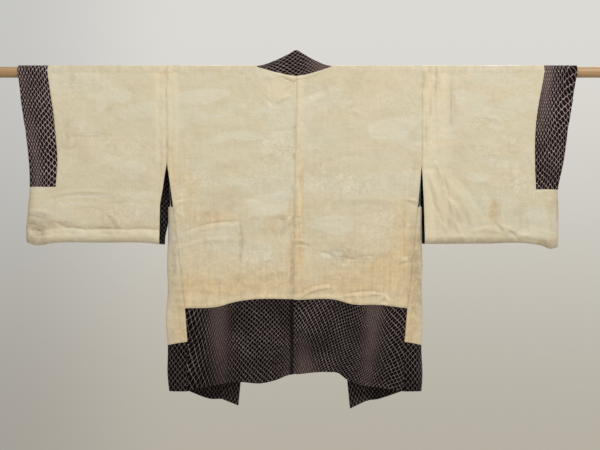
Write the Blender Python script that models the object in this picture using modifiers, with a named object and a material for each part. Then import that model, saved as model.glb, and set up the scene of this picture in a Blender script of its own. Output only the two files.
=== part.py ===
"""A woman's haori jacket, turned inside out and hung on a round wooden rod.

The rod runs along X through both sleeves, with the origin on its axis. +Z is up, and the
garment's back, lining side out, faces -Y. Each half of the body is one length of cloth that
runs from the back hem over the rod to the front hem. A dark shell lies inside, and the
lining and the turned-up facings lie on it.

Tables are in millimetres. "drop" is the distance below the rod's axis, and a left or right
column is the distance from the middle of the garment on that side.
"""
from math import cos, hypot, pi, radians, sin

import bmesh
import bpy
from mathutils import Vector

MM = 0.001

ROD_RADIUS = 12.5 * MM
ROD_LENGTH = 1440 * MM
ROD_SIDES = 48

WALL = 1.1 * MM                      # one layer of cloth
SEAM_GAP = 0.3 * MM
LAYER = WALL + SEAM_GAP              # from one layer to the next one out
HANG_RADIUS = ROD_RADIUS + 0.5 * MM  # the shell's inner face, just off the rod
COLLAR_WALL = 2 * WALL + SEAM_GAP    # the collar is as thick as shell and lining
OVER_STEPS = 8                       # facets over the rod, back to front
NECK_STEP = 2                        # the facet where the back neck ends at its sides
CENTRE = -2 * MM                     # the centre back seam hangs just off the middle

ARMHOLE = 208                        # the sleeve is sewn on down to this drop
GUSSET_TOP = 308
SIDE_FACING = 538                    # the hem facing's seam, at the side seam
SIDE_HEM = 728
CUFF_END = 262                       # the sleeve is sewn shut below this drop
COLLAR_WIDTH = 40
NECK_HALF = {-1: 90, 1: 78}          # the neck opening, either side of the centre
HEM_FACING = 175                     # the turned-up hem, at the front


def table(columns, *rows):
    names = columns.split()
    return [dict(zip(names, row)) for row in rows]


def read(rows, key, column, at):
    """A column's value, straight between the two rows on either side of `at`."""
    low = rows[0]
    for high in rows[1:]:
        if at <= high[key] or high is rows[-1]:
            span = (at - low[key]) / (high[key] - low[key])
            return low[column] + (high[column] - low[column]) * min(max(span, 0), 1)
        low = high


def side_of(sign):
    return "left" if sign < 0 else "right"


BACK_SIDE = table("drop left right",
                  (0, 299, 283), (ARMHOLE, 297, 283), (GUSSET_TOP, 283, 274),
                  (SIDE_FACING, 256, 251), (SIDE_HEM, 252, 243))
FRONT_SIDE = table("drop left right",
                   (0, 299, 283), (ARMHOLE, 297, 283), (GUSSET_TOP, 290.5, 280),
                   (SIDE_FACING, 260, 253), (SIDE_HEM, 254, 245))
COLLAR_SEAM = table("drop left right", (0, 92, 76), (770, 178, 162))

BACK_HEM = {
    "left": table("out drop", (0, 689), (17, 690), (49, 702), (81, 709), (135, 706),
                  (195, 715), (252, SIDE_HEM)),
    "right": table("out drop", (0, 689), (70, 684), (92, 686), (113, 701), (142, 712),
                   (195, 720), (243, SIDE_HEM)),
}
FRONT_HEM = {
    "left": table("out drop", (138, 763), (176, 748), (196, 748), (254, SIDE_HEM)),
    "right": table("out drop", (124, 770), (142, 765), (160, 752), (180, 749), (245, SIDE_HEM)),
}
BACK_FACING = {
    "left": table("out drop", (0, 516), (115, 519), (149, 525), (176, 533), (256, SIDE_FACING)),
    "right": table("out drop", (0, 521), (90, 519), (122, 528), (185, 530), (251, SIDE_FACING)),
}

# The back neck: seam_out and edge_out are fractions of the neck's half width, seam_rise is
# measured up the cloth from the rod's mid height, and the free edge stands at edge_y, edge_z.
# The collar leaves the seam flat with the body, upwards at inward 0 and inwards at 1.
BACK_NECK = table("seam_out seam_rise inward edge_out edge_y edge_z",
                  (0.00, -11.0, 0.0, 0.00, -12, 49),
                  (0.33, -6.3, 0.15, 0.20, -11, 40),
                  (0.62, 0.5, 0.3, 0.39, -6, 31),
                  (0.81, 5.3, 0.4, 0.51, -1, 26),
                  (1.00, 10.2, 0.6, 0.62, 4, 22))
# Over the rod to the front: the angle round the rod, 0 at its front and 180 at its back.
SIDE_NECK = table("angle edge_out edge_y edge_z",
                  (0, 0.57, 15, 0), (45, 0.61, 15, 12), (90, 0.63, 10, 19), (135, 0.62, 4, 22))
COLLAR_DROPS = (40, 110, 200, 300, 400, 520, 640)
COLLAR_FLAT = 3                      # how far the collar lies flat beside its seam

CHI_DROP = 250                       # the small loops that hold the haori's cord
CHI_RADIUS = 1.5
CHI_SPREAD = 4                       # half the distance between a loop's two legs
CHI_SEWN = 12                        # how much of each leg lies on the collar
CHI_REACH = 8                        # how far the loop stands past the collar's edge
CHI_STEPS = 6

GUSSET_REACH = table("drop left right",
                     (GUSSET_TOP, 295, 283.5), (520, 298, 285), (600, 299, 285),
                     (SIDE_HEM, 293, 283))
GUSSET_DROPS = (GUSSET_TOP, 380, 460, SIDE_FACING, 617, 672, SIDE_HEM)
GUSSET_FACING_ROW = 4                # where the gusset's lining meets its facing
GUSSET_STEPS = 8

BODY_COLUMNS = (0, 0.22, 0.47, 0.74, 1)     # from the neck, or the collar, out to the side
BODY_DROPS = (460, 384, GUSSET_TOP, 258, ARMHOLE, 140, 70, 25, 0)
NECK_BLEND = 70                             # above this drop the rows follow the neckline
SETTLE_PASSES = 4                           # a hem point's place and drop depend on each other
FRONT_SIDE_BLEND = (200, 250)               # where the front facing meets the side's height

CUFF_EDGE = table("drop left right",
                  (0, 637, 637), (65, 629, 626), (121, 621, 617), (214, 609, 602),
                  (CUFF_END, 609, 593), (326, 614, 593), (383, 617, 592), (400, 606, 588))
CUFF_FACING = table("drop left right",
                    (0, 569, 562), (121, 552, 542), (214, 546, 540), (CUFF_END, 550, 542),
                    (400, 554, 544))
SLEEVE_BACK = table("drop left right",
                    (0, 299, 283), (ARMHOLE, 297, 283), (303, 313, 288), (376, 315, 290),
                    (400, 307, 289))
SLEEVE_FRONT = table("drop left right",
                     (0, 299, 283), (ARMHOLE, 297, 283), (303, 293.5, 284), (376, 299, 287),
                     (400, 307, 289))
SLEEVE_BOTTOM = {
    "left": table("out drop", (305, 392), (340, 388), (448, 387), (560, 388), (618, 393)),
    "right": table("out drop", (285, 390), (430, 389), (530, 389), (560, 394), (593, 403)),
}
SLEEVE_COLUMNS = (0, 0.22, 0.48, 0.74, 1)   # from the armhole to the cuff facing
CUFF_COLUMNS = (0.5, 0.87, 1)               # across the facing to the cuff's edge
CUFF_FULLNESS = (1, 0.8, 0)                 # how full those columns are where it is sewn shut
FACING_COLUMN = len(SLEEVE_COLUMNS) - 1

# A sleeve's section: the fullness is the half thickness of the hollow, and "share" runs
# from the end of the cuff opening at 0 to the bottom of the sleeve at 1.
SLEEVE_TOP = table("drop fullness cuff_shut",
                   (0, 13, 0), (70, 13, 0), (140, 13, 0), (ARMHOLE, 12.5, 0.25),
                   (CUFF_END, 12, 0.85))
SLEEVE_FOOT = {
    "left": table("share fullness", (0.06, 12), (0.3, 11), (0.62, 9), (0.77, 6), (0.88, 9.5),
                  (0.96, 7.5), (1, 0)),
    "right": table("share fullness", (0.06, 12), (0.3, 12), (0.62, 11), (0.77, 10),
                   (0.88, 9.5), (0.96, 6.5), (1, 0)),
}

# Long soft flutes in the body: where each stands at the hem, how wide and deep it is there,
# the drop where it starts, and how far it leans over on the way down.
FLUTE_FOOT = 700
TAPER = 1 / 700                      # back and front hang closer together lower down
FLUTES = {
    "back": table("x width depth top lean",
                  (-120, 70, 4.0, 300, -30), (45, 75, -4.0, 240, 25), (150, 55, 3.5, 330, 20)),
    "front": table("x width depth top lean",
                   (-215, 45, 3.0, 300, -15), (205, 45, 3.0, 280, 15)),
}

FINISHES = {
    "lining": ((0.72, 0.66, 0.49), 0.62),
    "shibori_silk": ((0.030, 0.021, 0.026), 0.75),
    "wood": ((0.60, 0.43, 0.25), 0.5),
}


def material(name):
    colour, roughness = FINISHES[name]
    finish = bpy.data.materials.new(name)
    finish.use_nodes = True
    shader = finish.node_tree.nodes["Principled BSDF"]
    shader.inputs["Base Color"].default_value = (*colour, 1)
    shader.inputs["Roughness"].default_value = roughness
    shader.inputs["Metallic"].default_value = 0
    return finish


def clear_scene():
    for item in list(bpy.data.objects):
        bpy.data.objects.remove(item, do_unlink=True)


def flute_depth(face, x, drop):
    """How far the flutes carry the cloth outwards, in millimetres."""
    total = 0
    for flute in FLUTES[face]:
        grown = min(max((drop - flute["top"]) / (FLUTE_FOOT - flute["top"]), 0), 1)
        away = (x - flute["x"] + flute["lean"] * (1 - grown)) / flute["width"]
        if abs(away) < 1:
            total += flute["depth"] * grown * (0.5 + 0.5 * cos(pi * away))
    return total


def over_rod(x, angle):
    turn = radians(angle)
    return Vector((x * MM, HANG_RADIUS * cos(turn), HANG_RADIUS * sin(turn)))


def hung(face, x, drop):
    """A point of the shell's inner face below the rod, at its back or its front."""
    away = HANG_RADIUS / MM - drop * TAPER + flute_depth(face, x, drop)
    return Vector((x, away * (-1 if face == "back" else 1), -drop)) * MM


def up_the_back(x, rise):
    """A point by its height up the back of the cloth, which turns over the rod above 0."""
    if rise <= 0:
        return hung("back", x, -rise)
    return over_rod(x, 180 - rise * MM / HANG_RADIUS * 180 / pi)


def fuller(first, second):
    """Whether the middle of one diagonal stands further off the rod than the other's."""
    middles = [(pair[0].co + pair[1].co) / 2 for pair in (first, second)]
    reach = [hypot(middle.y, max(middle.z, 0)) for middle in middles]
    return reach[0] >= reach[1]


def panel(points, outward):
    """An open surface on a grid of points, some of them None, its faces marked by cell.

    Each cell is split along the diagonal that stands out further, so it never cuts the rod.
    """
    mesh = bmesh.new()
    row_mark = mesh.faces.layers.int.new("row")
    column_mark = mesh.faces.layers.int.new("column")
    corners = [[point and mesh.verts.new(point) for point in row] for row in points]
    for i in range(len(corners) - 1):
        for j in range(len(corners[i]) - 1):
            a, b, c, d = (corners[i][j], corners[i][j + 1],
                          corners[i + 1][j + 1], corners[i + 1][j])
            if not (a and b and c and d):
                continue
            halves = ((a, b, c), (a, c, d)) if fuller((a, c), (b, d)) else ((a, b, d), (b, c, d))
            for half in halves:
                face = mesh.faces.new(half)
                face[row_mark] = i
                face[column_mark] = j
    bmesh.ops.remove_doubles(mesh, verts=mesh.verts, dist=0.01 * MM)
    mesh.normal_update()
    mesh.faces.ensure_lookup_table()
    if mesh.faces[0].normal.dot(outward) < 0:
        bmesh.ops.reverse_faces(mesh, faces=mesh.faces)
        mesh.normal_update()
    return mesh


def pull_back(mesh, distance):
    """Move every open edge inwards, in the plane of its faces."""
    ways = {}
    for edge in mesh.edges:
        if not edge.is_boundary:
            continue
        start = edge.verts[0].co
        along = (edge.verts[1].co - start).normalized()
        inward = edge.link_faces[0].calc_center_median() - start
        inward = (inward - along * inward.dot(along)).normalized()
        for corner in edge.verts:
            ways.setdefault(corner, []).append(inward)
    for corner, (first, *others) in ways.items():
        second = others[0] if others else first
        corner.co += (first + second) * distance / (1 + first.dot(second))


def cloth_piece(name, cut, finish, group, keep=None, layer=0, wall=WALL):
    """One layer of cloth, from a panel's points moved out, with its own part of the panel."""
    mesh = cut.copy()
    mesh.normal_update()
    for corner in mesh.verts:
        corner.co += corner.normal * layer * LAYER
    row_mark = mesh.faces.layers.int["row"]
    column_mark = mesh.faces.layers.int["column"]
    if keep:
        spare = [face for face in mesh.faces if not keep(face[row_mark], face[column_mark])]
        bmesh.ops.delete(mesh, geom=spare, context="FACES")
    pull_back(mesh, SEAM_GAP / 2)
    data = bpy.data.meshes.new(name)
    mesh.to_mesh(data)
    mesh.free()
    data.shade_smooth()
    data.materials.append(finish)
    item = bpy.data.objects.new(name, data)
    group.objects.link(item)
    thickness = item.modifiers.new("wall", "SOLIDIFY")
    thickness.thickness = wall
    thickness.offset = 1
    return item


def body_rows(sign):
    """The body half as a grid: up the back, over the rod and down the front."""
    side = side_of(sign)
    centre = CENTRE / MM
    last_neck = len(BACK_NECK) - 1
    neck_rise = [row["seam_rise"] for row in BACK_NECK]
    neck_share = NECK_HALF[sign] / abs(sign * BACK_SIDE[0][side] - centre)
    spots = [row["seam_out"] * neck_share for row in BACK_NECK]
    spots += [neck_share + (1 - neck_share) * share for share in BODY_COLUMNS[1:]]

    def back_x(drop):
        edge = sign * read(BACK_SIDE, "drop", side, drop)
        return [centre + (edge - centre) * spot for spot in spots]

    def front_x(drop):
        edge = read(FRONT_SIDE, "drop", side, drop)
        seam = read(COLLAR_SEAM, "drop", side, drop)
        return [sign * (seam + (edge - seam) * share) for share in BODY_COLUMNS]

    def below_facing(face, x_at, share):
        """A row between the facing's seam, share 0, and the hem, share 1."""
        points = []
        for j in range(len(x_at(0))):
            drop = SIDE_FACING
            for _ in range(SETTLE_PASSES):
                x = x_at(drop)[j]
                if face == "back":
                    hem = read(BACK_HEM[side], "out", "drop", abs(x))
                    seam = read(BACK_FACING[side], "out", "drop", abs(x))
                else:
                    hem = read(FRONT_HEM[side], "out", "drop", abs(x))
                    inner, outer = FRONT_SIDE_BLEND
                    beside = min(max((abs(x) - inner) / (outer - inner), 0), 1)
                    seam = hem - HEM_FACING - (SIDE_HEM - SIDE_FACING - HEM_FACING) * beside
                drop = seam + (hem - seam) * share
            points.append(hung(face, x, drop))
        return points

    rows = [below_facing("back", back_x, share) for share in (1, 0.5, 0)]
    over_rise = HANG_RADIUS / MM * pi / OVER_STEPS
    rises = [-drop for drop in BODY_DROPS] + [over_rise * (step + 1) for step in range(NECK_STEP)]
    for rise in rises:
        row = []
        for j, x in enumerate(back_x(max(-rise, 0))):
            height = rise
            if j < last_neck and rise > -NECK_BLEND:
                share = (rise + NECK_BLEND) / (rises[-1] + NECK_BLEND)
                height = -NECK_BLEND + (neck_rise[j] + NECK_BLEND) * share
            row.append(up_the_back(x, height))
        rows.append(row)
    blank = [None] * last_neck
    for step in range(NECK_STEP + 1, OVER_STEPS + 1):
        rows.append(blank + [over_rod(x, 180 - 180 * step / OVER_STEPS) for x in front_x(0)])
    for drop in reversed(BODY_DROPS[:-1]):
        rows.append(blank + [hung("front", x, drop) for x in front_x(drop)])
    for share in (0, 0.5, 1):
        rows.append(blank + below_facing("front", front_x, share))
    return rows


def sleeve_rows(sign):
    """The sleeve as a grid that goes right round it, from its bottom edge to its bottom edge."""
    side = side_of(sign)

    def ring(drop, inner_table, away, fullness, shut, share=None):
        inner = read(inner_table, "drop", side, drop)
        facing = read(CUFF_FACING, "drop", side, drop)
        cuff = read(CUFF_EDGE, "drop", side, drop)
        outs = [inner + (facing - inner) * spot for spot in SLEEVE_COLUMNS]
        outs += [facing + (cuff - facing) * spot for spot in CUFF_COLUMNS]
        full = [1] * len(SLEEVE_COLUMNS) + [1 - shut * (1 - part) for part in CUFF_FULLNESS]
        points = []
        for out, part in zip(outs, full):
            depth = drop
            if share is not None:
                bottom = read(SLEEVE_BOTTOM[side], "out", "drop", out)
                depth = CUFF_END + (bottom - CUFF_END) * share
            points.append(Vector((sign * out, away * fullness * part, -depth)) * MM)
        return points

    def one_side(inner_table, away):
        rows = []
        for row in reversed(SLEEVE_FOOT[side]):
            drop = CUFF_END + (400 - CUFF_END) * row["share"]
            rows.append(ring(drop, inner_table, away, row["fullness"], 1, row["share"]))
        for row in reversed(SLEEVE_TOP):
            rows.append(ring(row["drop"], inner_table, away, row["fullness"], row["cuff_shut"]))
        return rows

    back = one_side(SLEEVE_BACK, -1)
    front = one_side(SLEEVE_FRONT, 1)
    top_x = [point.x / MM for point in back[-1]]
    over = [[over_rod(x, 180 - 180 * step / OVER_STEPS) for x in top_x]
            for step in range(1, OVER_STEPS)]
    return back + over + front[::-1]


def gusset_rows(sign):
    """The side gusset, round from the back panel's edge to the front panel's."""
    side = side_of(sign)
    walls = (2 * WALL + SEAM_GAP) / MM
    rows = []
    for drop in GUSSET_DROPS:
        reach = read(GUSSET_REACH, "drop", side, drop) - walls
        row = []
        for step in range(GUSSET_STEPS + 1):
            turn = pi * (step / GUSSET_STEPS - 0.5)
            edge_table = BACK_SIDE if turn < 0 else FRONT_SIDE
            edge = read(edge_table, "drop", side, drop)
            out = edge + (reach - edge) * cos(turn)
            away = (HANG_RADIUS / MM - drop * TAPER) * sin(turn)
            row.append(Vector((sign * out, away, -drop)) * MM)
        rows.append(row)
    return rows


def collar_half(sign):
    """Seam point, end of the flat beside it and free edge, from centre back to front hem."""
    side = side_of(sign)
    centre = CENTRE / MM
    half = NECK_HALF[sign]
    inwards = Vector((-sign, 0, 0))
    stations = []

    def station(seam, way, out, y, z):
        edge = Vector((centre + sign * half * out, y, z)) * MM
        stations.append((seam, seam + way.normalized() * COLLAR_FLAT * MM, edge))

    for row in BACK_NECK:
        x = centre + sign * half * row["seam_out"]
        seam = up_the_back(x, row["seam_rise"])
        upwards = (up_the_back(x, row["seam_rise"] + 1) - seam).normalized()
        station(seam, inwards * row["inward"] + upwards * (1 - row["inward"]),
                row["edge_out"], row["edge_y"], row["edge_z"])
    for step in range(NECK_STEP + 1, OVER_STEPS + 1):
        angle = 180 - 180 * step / OVER_STEPS
        edge = [read(SIDE_NECK, "angle", column, angle) for column in ("edge_out", "edge_y", "edge_z")]
        station(over_rod(sign * COLLAR_SEAM[0][side], angle), inwards, *edge)
    hem = FRONT_HEM[side]
    last_drop = read(hem, "out", "drop", read(COLLAR_SEAM, "drop", side, SIDE_HEM))
    for drop in (*COLLAR_DROPS, last_drop):
        seam_out = read(COLLAR_SEAM, "drop", side, drop)
        edge_out = seam_out - COLLAR_WIDTH
        below = read(hem, "out", "drop", edge_out) - last_drop if drop == last_drop else 0
        edge = hung("front", sign * edge_out, drop + below)
        edge.y += 2 * MM * (1 - min(drop / COLLAR_DROPS[2], 1))
        seam = hung("front", sign * seam_out, drop)
        stations.append((seam, seam + inwards * COLLAR_FLAT * MM, edge))
    return stations


def collar_rows():
    stations = collar_half(-1)[::-1] + collar_half(1)[1:]
    return [[seam] + [flat.lerp(edge, share) for share in (0, 0.33, 0.67, 1)]
            for seam, flat, edge in stations]


def add_body(sign, finishes, group):
    side = side_of(sign)
    rows = body_rows(sign)
    half = panel(rows, Vector((0, -1, 0)))
    last = len(rows) - 2
    cloth_piece(f"body_shell_{side}", half, finishes["shibori_silk"], group)
    cloth_piece(f"body_lining_{side}", half, finishes["lining"], group, layer=1,
                keep=lambda row, column: 2 <= row <= last - 2)
    cloth_piece(f"hem_facing_back_{side}", half, finishes["shibori_silk"], group, layer=1,
                keep=lambda row, column: row < 2)
    cloth_piece(f"hem_facing_front_{side}", half, finishes["shibori_silk"], group, layer=1,
                keep=lambda row, column: row > last - 2)
    half.free()


def add_sleeve(sign, finishes, group):
    side = side_of(sign)
    rows = sleeve_rows(sign)
    tube = panel(rows, Vector((0, -1, -1)))
    shut = len(SLEEVE_FOOT[side])
    last = len(rows) - 2

    def at_cuff(row, column):
        return column >= FACING_COLUMN and shut <= row <= last - shut

    cloth_piece(f"sleeve_shell_{side}", tube, finishes["shibori_silk"], group)
    cloth_piece(f"sleeve_lining_{side}", tube, finishes["lining"], group, layer=1,
                keep=lambda row, column: not at_cuff(row, column))
    cloth_piece(f"cuff_facing_{side}", tube, finishes["shibori_silk"], group, layer=1,
                keep=at_cuff)
    tube.free()


def add_gusset(sign, finishes, group):
    side = side_of(sign)
    strip = panel(gusset_rows(sign), Vector((0, -1, 0)))
    cloth_piece(f"gusset_shell_{side}", strip, finishes["shibori_silk"], group)
    cloth_piece(f"gusset_lining_{side}", strip, finishes["lining"], group, layer=1,
                keep=lambda row, column: row < GUSSET_FACING_ROW)
    cloth_piece(f"gusset_facing_{side}", strip, finishes["shibori_silk"], group, layer=1,
                keep=lambda row, column: row >= GUSSET_FACING_ROW)
    strip.free()


def add_collar(finishes, group):
    rows = collar_rows()
    band = panel(rows, Vector((0, 1, 0)))
    cloth_piece("collar", band, finishes["shibori_silk"], group, wall=COLLAR_WALL)
    band.free()


def add_chi(sign, finishes, group):
    """A cord loop on the collar's free edge, its two legs flat on the collar."""
    side = side_of(sign)
    edge_out = read(COLLAR_SEAM, "drop", side, CHI_DROP) - COLLAR_WIDTH
    surface = hung("front", sign * edge_out, CHI_DROP - CHI_SPREAD).y + COLLAR_WALL + SEAM_GAP
    away = surface / MM + CHI_RADIUS
    legs = CHI_REACH - CHI_SPREAD
    route = [(edge_out + CHI_SEWN, -CHI_SPREAD)]
    for step in range(CHI_STEPS + 1):
        turn = pi * (step / CHI_STEPS - 0.5)
        route.append((edge_out - legs - CHI_SPREAD * cos(turn), CHI_SPREAD * sin(turn)))
    route.append((edge_out + CHI_SEWN, CHI_SPREAD))
    curve = bpy.data.curves.new(f"chi_{side}", "CURVE")
    curve.dimensions = "3D"
    curve.bevel_depth = CHI_RADIUS * MM
    curve.bevel_resolution = 2
    curve.use_fill_caps = True
    spline = curve.splines.new("POLY")
    spline.points.add(len(route) - 1)
    for point, (out, rise) in zip(spline.points, route):
        point.co = (sign * out * MM, away * MM, (rise - CHI_DROP) * MM, 1)
    curve.materials.append(finishes["shibori_silk"])
    group.objects.link(bpy.data.objects.new(f"chi_{side}", curve))


def add_rod(finishes, group):
    bpy.ops.mesh.primitive_cylinder_add(vertices=ROD_SIDES, radius=ROD_RADIUS, depth=ROD_LENGTH,
                                        rotation=(0, pi / 2, 0))
    rod = bpy.context.object
    rod.name = "rod"
    rod.data.name = "rod"
    rod.data.shade_smooth()
    rod.data.set_sharp_from_angle(angle=radians(40))
    rod.data.materials.append(finishes["wood"])
    for holder in list(rod.users_collection):
        holder.objects.unlink(rod)
    group.objects.link(rod)


def main():
    clear_scene()
    group = bpy.data.collections.new("haori_jacket_on_a_rod")
    bpy.context.scene.collection.children.link(group)
    finishes = {name: material(name) for name in FINISHES}
    add_rod(finishes, group)
    for sign in (-1, 1):
        add_body(sign, finishes, group)
        add_sleeve(sign, finishes, group)
        add_gusset(sign, finishes, group)
        add_chi(sign, finishes, group)
    add_collar(finishes, group)


main()
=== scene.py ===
# A woman's haori jacket, turned inside out, hung on a wooden rod that runs through both sleeves.
# Shapes are worked out in millimetres: x across, and drop, the distance below the rod's axis.
from math import pi, radians

import bmesh
import bpy
import numpy as np
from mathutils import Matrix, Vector


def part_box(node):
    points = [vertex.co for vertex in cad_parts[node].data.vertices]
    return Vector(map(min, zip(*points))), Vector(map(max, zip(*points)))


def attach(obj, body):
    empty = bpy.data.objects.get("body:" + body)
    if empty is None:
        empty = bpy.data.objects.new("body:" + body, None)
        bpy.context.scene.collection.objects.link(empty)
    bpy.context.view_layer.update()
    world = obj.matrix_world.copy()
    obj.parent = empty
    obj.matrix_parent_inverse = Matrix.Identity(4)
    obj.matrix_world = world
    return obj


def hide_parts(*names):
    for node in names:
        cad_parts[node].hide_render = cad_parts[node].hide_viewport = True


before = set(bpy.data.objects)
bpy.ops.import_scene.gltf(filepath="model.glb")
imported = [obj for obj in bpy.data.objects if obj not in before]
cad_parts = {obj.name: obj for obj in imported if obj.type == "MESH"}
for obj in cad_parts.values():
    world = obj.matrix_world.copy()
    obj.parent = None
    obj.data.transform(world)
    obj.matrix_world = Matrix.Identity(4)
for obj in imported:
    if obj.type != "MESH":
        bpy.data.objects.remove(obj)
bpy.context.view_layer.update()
print("frame loaded:", len(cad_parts), "nodes")

mm = 0.001
sides = {"left": -1, "right": 1}


def place(name, data):  # a new object in the scene
    item = bpy.data.objects.new(name, data)
    bpy.context.scene.collection.objects.link(item)
    return item


def weldInto(mesh, data):  # closes a bmesh's seams, turns its normals out and writes it to data
    bmesh.ops.remove_doubles(mesh, verts=mesh.verts, dist=1e-6)
    bmesh.ops.recalc_face_normals(mesh, faces=mesh.faces)
    mesh.to_mesh(data)
    mesh.free()
    data.shade_smooth()


def table(columns, *rows):
    return dict(zip(columns.split(), np.array(rows, float).T))


def each(rows):  # a table's rows, one by one
    return zip(*(column.tolist() for column in rows.values()))


def straight(rows, key, column, at):  # a column's value, straight between rows
    return np.interp(at, rows[key], rows[column])


def smooth(rows, key, column, at):  # the same on one smooth curve through the rows
    keys, values = rows[key], rows[column]
    slopes = np.gradient(values, keys)
    low = np.clip(np.searchsorted(keys, at) - 1, 0, len(keys) - 2)
    span = keys[low + 1] - keys[low]
    t = np.clip((at - keys[low]) / span, 0, 1)
    return ((2 * t**3 - 3 * t**2 + 1) * values[low] + (t**3 - 2 * t**2 + t) * span * slopes[low]
            + (3 * t**2 - 2 * t**3) * values[low + 1] + (t**3 - t**2) * span * slopes[low + 1])


def ease(low, high, at):  # 0 below low, 1 above high, smooth between
    t = np.clip((at - low) / (high - low), 0, 1)
    return t * t * (3 - 2 * t)


# How the garment is cut and hung, in millimetres. Left is the viewer's left from behind.
cloth = {
    "cell": 2.8,            # the lining's grid
    "shellCell": 7.2,       # the hidden shell's grid
    "backRows": 0.8,        # a row's height in cells, at the back, which shows most
    "frontRows": 1.6,
    "wall": 1.0,
    "collarWall": 2.0,      # shell and lining together
    "liningLift": 1.65,     # from the shell's inner face to the lining's
    "hangRadius": 13.0,     # the shell's inner face over the rod
    "taper": 1 / 700,       # back and fronts close in towards the hem
    "centre": -2.0,         # the middle of the neck
    "halfBack": 280,        # this and the next six only set how many cells there are
    "sleeveWide": 250,
    "cuffWide": 60,
    "gussetLong": 300,
    "gussetRound": 24,
    "footRows": 6,
    "rodTurn": 0.25,        # over the rod, in radians
    "gussetRoom": 0.6,      # between the gusset and the sleeve
    "cuffRound": 15,        # how far in the sewn-up cuff grows to its full depth
    "footRound": 13,        # the sleeve's bottom roll
    "collarFlat": 3,        # the collar lies flat this far beside its seam
}

cut = {
    "armhole": 208, "gussetTop": 308, "sideFacing": 538, "sideHem": 728, "sleeveFoot": 376,
    "cuffEnd": {"left": 262, "right": 268},
    "collarWidth": 40, "hemFacing": 175, "neckHalf": {"left": 90, "right": 78},
    "centreSeam": table("drop x", (0, -2), (50, -2), (180, -4.5), (290, -7), (520, -8.5), (700, -10)),
    "backSide": table("drop left right", (0, 299, 283), (208, 297, 283), (308, 283, 274),
                      (538, 256, 250), (614, 250.6, 243.6), (728, 252, 243)),
    "frontSide": table("drop left right", (0, 299, 283), (208, 297, 283), (308, 290.5, 280),
                       (538, 260, 253), (728, 254, 245)),
    "collarSeam": table("drop left right", (0, 92, 76), (770, 178, 162)),
    "backHem": {
        "left": table("out drop", (0, 689), (17, 690), (49, 702), (81, 709), (135, 706),
                      (195, 715), (252, 728)),
        "right": table("out drop", (0, 689), (70, 684), (92, 686), (113, 701), (142, 712),
                       (195, 720), (243, 728)),
    },
    "frontHem": {
        "left": table("out drop", (138, 763), (176, 748), (196, 748), (254, 728)),
        "right": table("out drop", (124, 770), (142, 765), (160, 752), (180, 749), (245, 728)),
    },
    "backFacing": {
        "left": table("out drop", (0, 517), (115, 519), (149, 525), (176, 533), (256, 538)),
        "right": table("out drop", (0, 518.5), (90, 519), (122, 528), (185, 530), (251, 538)),
    },
    "backNeck": table("seamOut seamRise inward edgeOut edgeY edgeZ",
                      (0.00, -11.0, 0.0, 0.00, -12, 49), (0.33, -6.3, 0.15, 0.20, -11, 40),
                      (0.62, 0.5, 0.3, 0.39, -6, 31), (0.81, 5.3, 0.4, 0.51, -1, 26),
                      (1.00, 10.2, 0.6, 0.62, 4, 22)),
    "sideNeck": table("angle edgeOut edgeY edgeZ", (0, 0.57, 15, 0), (45, 0.61, 15, 12),
                      (90, 0.63, 10, 19), (135, 0.62, 4, 22)),
    "gussetReach": table("drop left right", (308, 295, 283.5), (520, 298, 285),
                         (600, 299, 285), (728, 293, 283)),
    "gussetFacing": table("turn drop", (-1, 615), (0, 623), (1, 615)),
    "cuffEdge": table("drop left right", (0, 637, 637), (65, 629, 626), (121, 621, 617),
                      (214, 609, 602), (262, 609, 593), (326, 614, 593), (368, 617, 593),
                      (384, 615, 592), (400, 603, 586)),
    "cuffFacing": table("drop left right", (0, 569, 562), (121, 552, 542), (214, 546, 540),
                        (262, 550, 542), (400, 554, 544)),
    "sleeveBack": table("drop left right", (0, 299, 283), (208, 297, 283), (303, 313, 288),
                        (376, 315, 290), (400, 307, 289)),
    "sleeveFront": table("drop left right", (0, 299, 283), (208, 297.2, 283.2), (302, 291.2, 280.6),
                         (314, 294.6, 284.4), (345, 296.5, 284.5), (376, 303, 284.9), (400, 309, 286.5)),
    "sleeveBottom": {
        "left": table("out drop", (305, 392), (340, 388), (448, 387), (560, 388), (598, 392.5),
                      (618, 386)),
        "right": table("out drop", (285, 390), (430, 389), (530, 389), (560, 394), (578, 401),
                       (593, 397)),
    },
    # half the sleeve's thickness, from the rod down to the widest place of its bottom roll
    "sleeveFull": {
        "left": table("drop full", (0, 13), (140, 13), (262, 12), (303, 11), (335, 9.0),
                      (350, 7.4), (360, 4.6), (367, 6.9), (376, 9.8)),
        "right": table("drop full", (0, 13), (140, 13), (262, 12), (303, 11.8), (335, 9.6),
                       (352, 8.2), (362, 8.4), (376, 9.8)),
    },
    "cuffShut": table("drop shut", (0, 0), (140, 0), (208, 0.25), (258, 0.93), (262, 1), (410, 1)),
}

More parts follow.
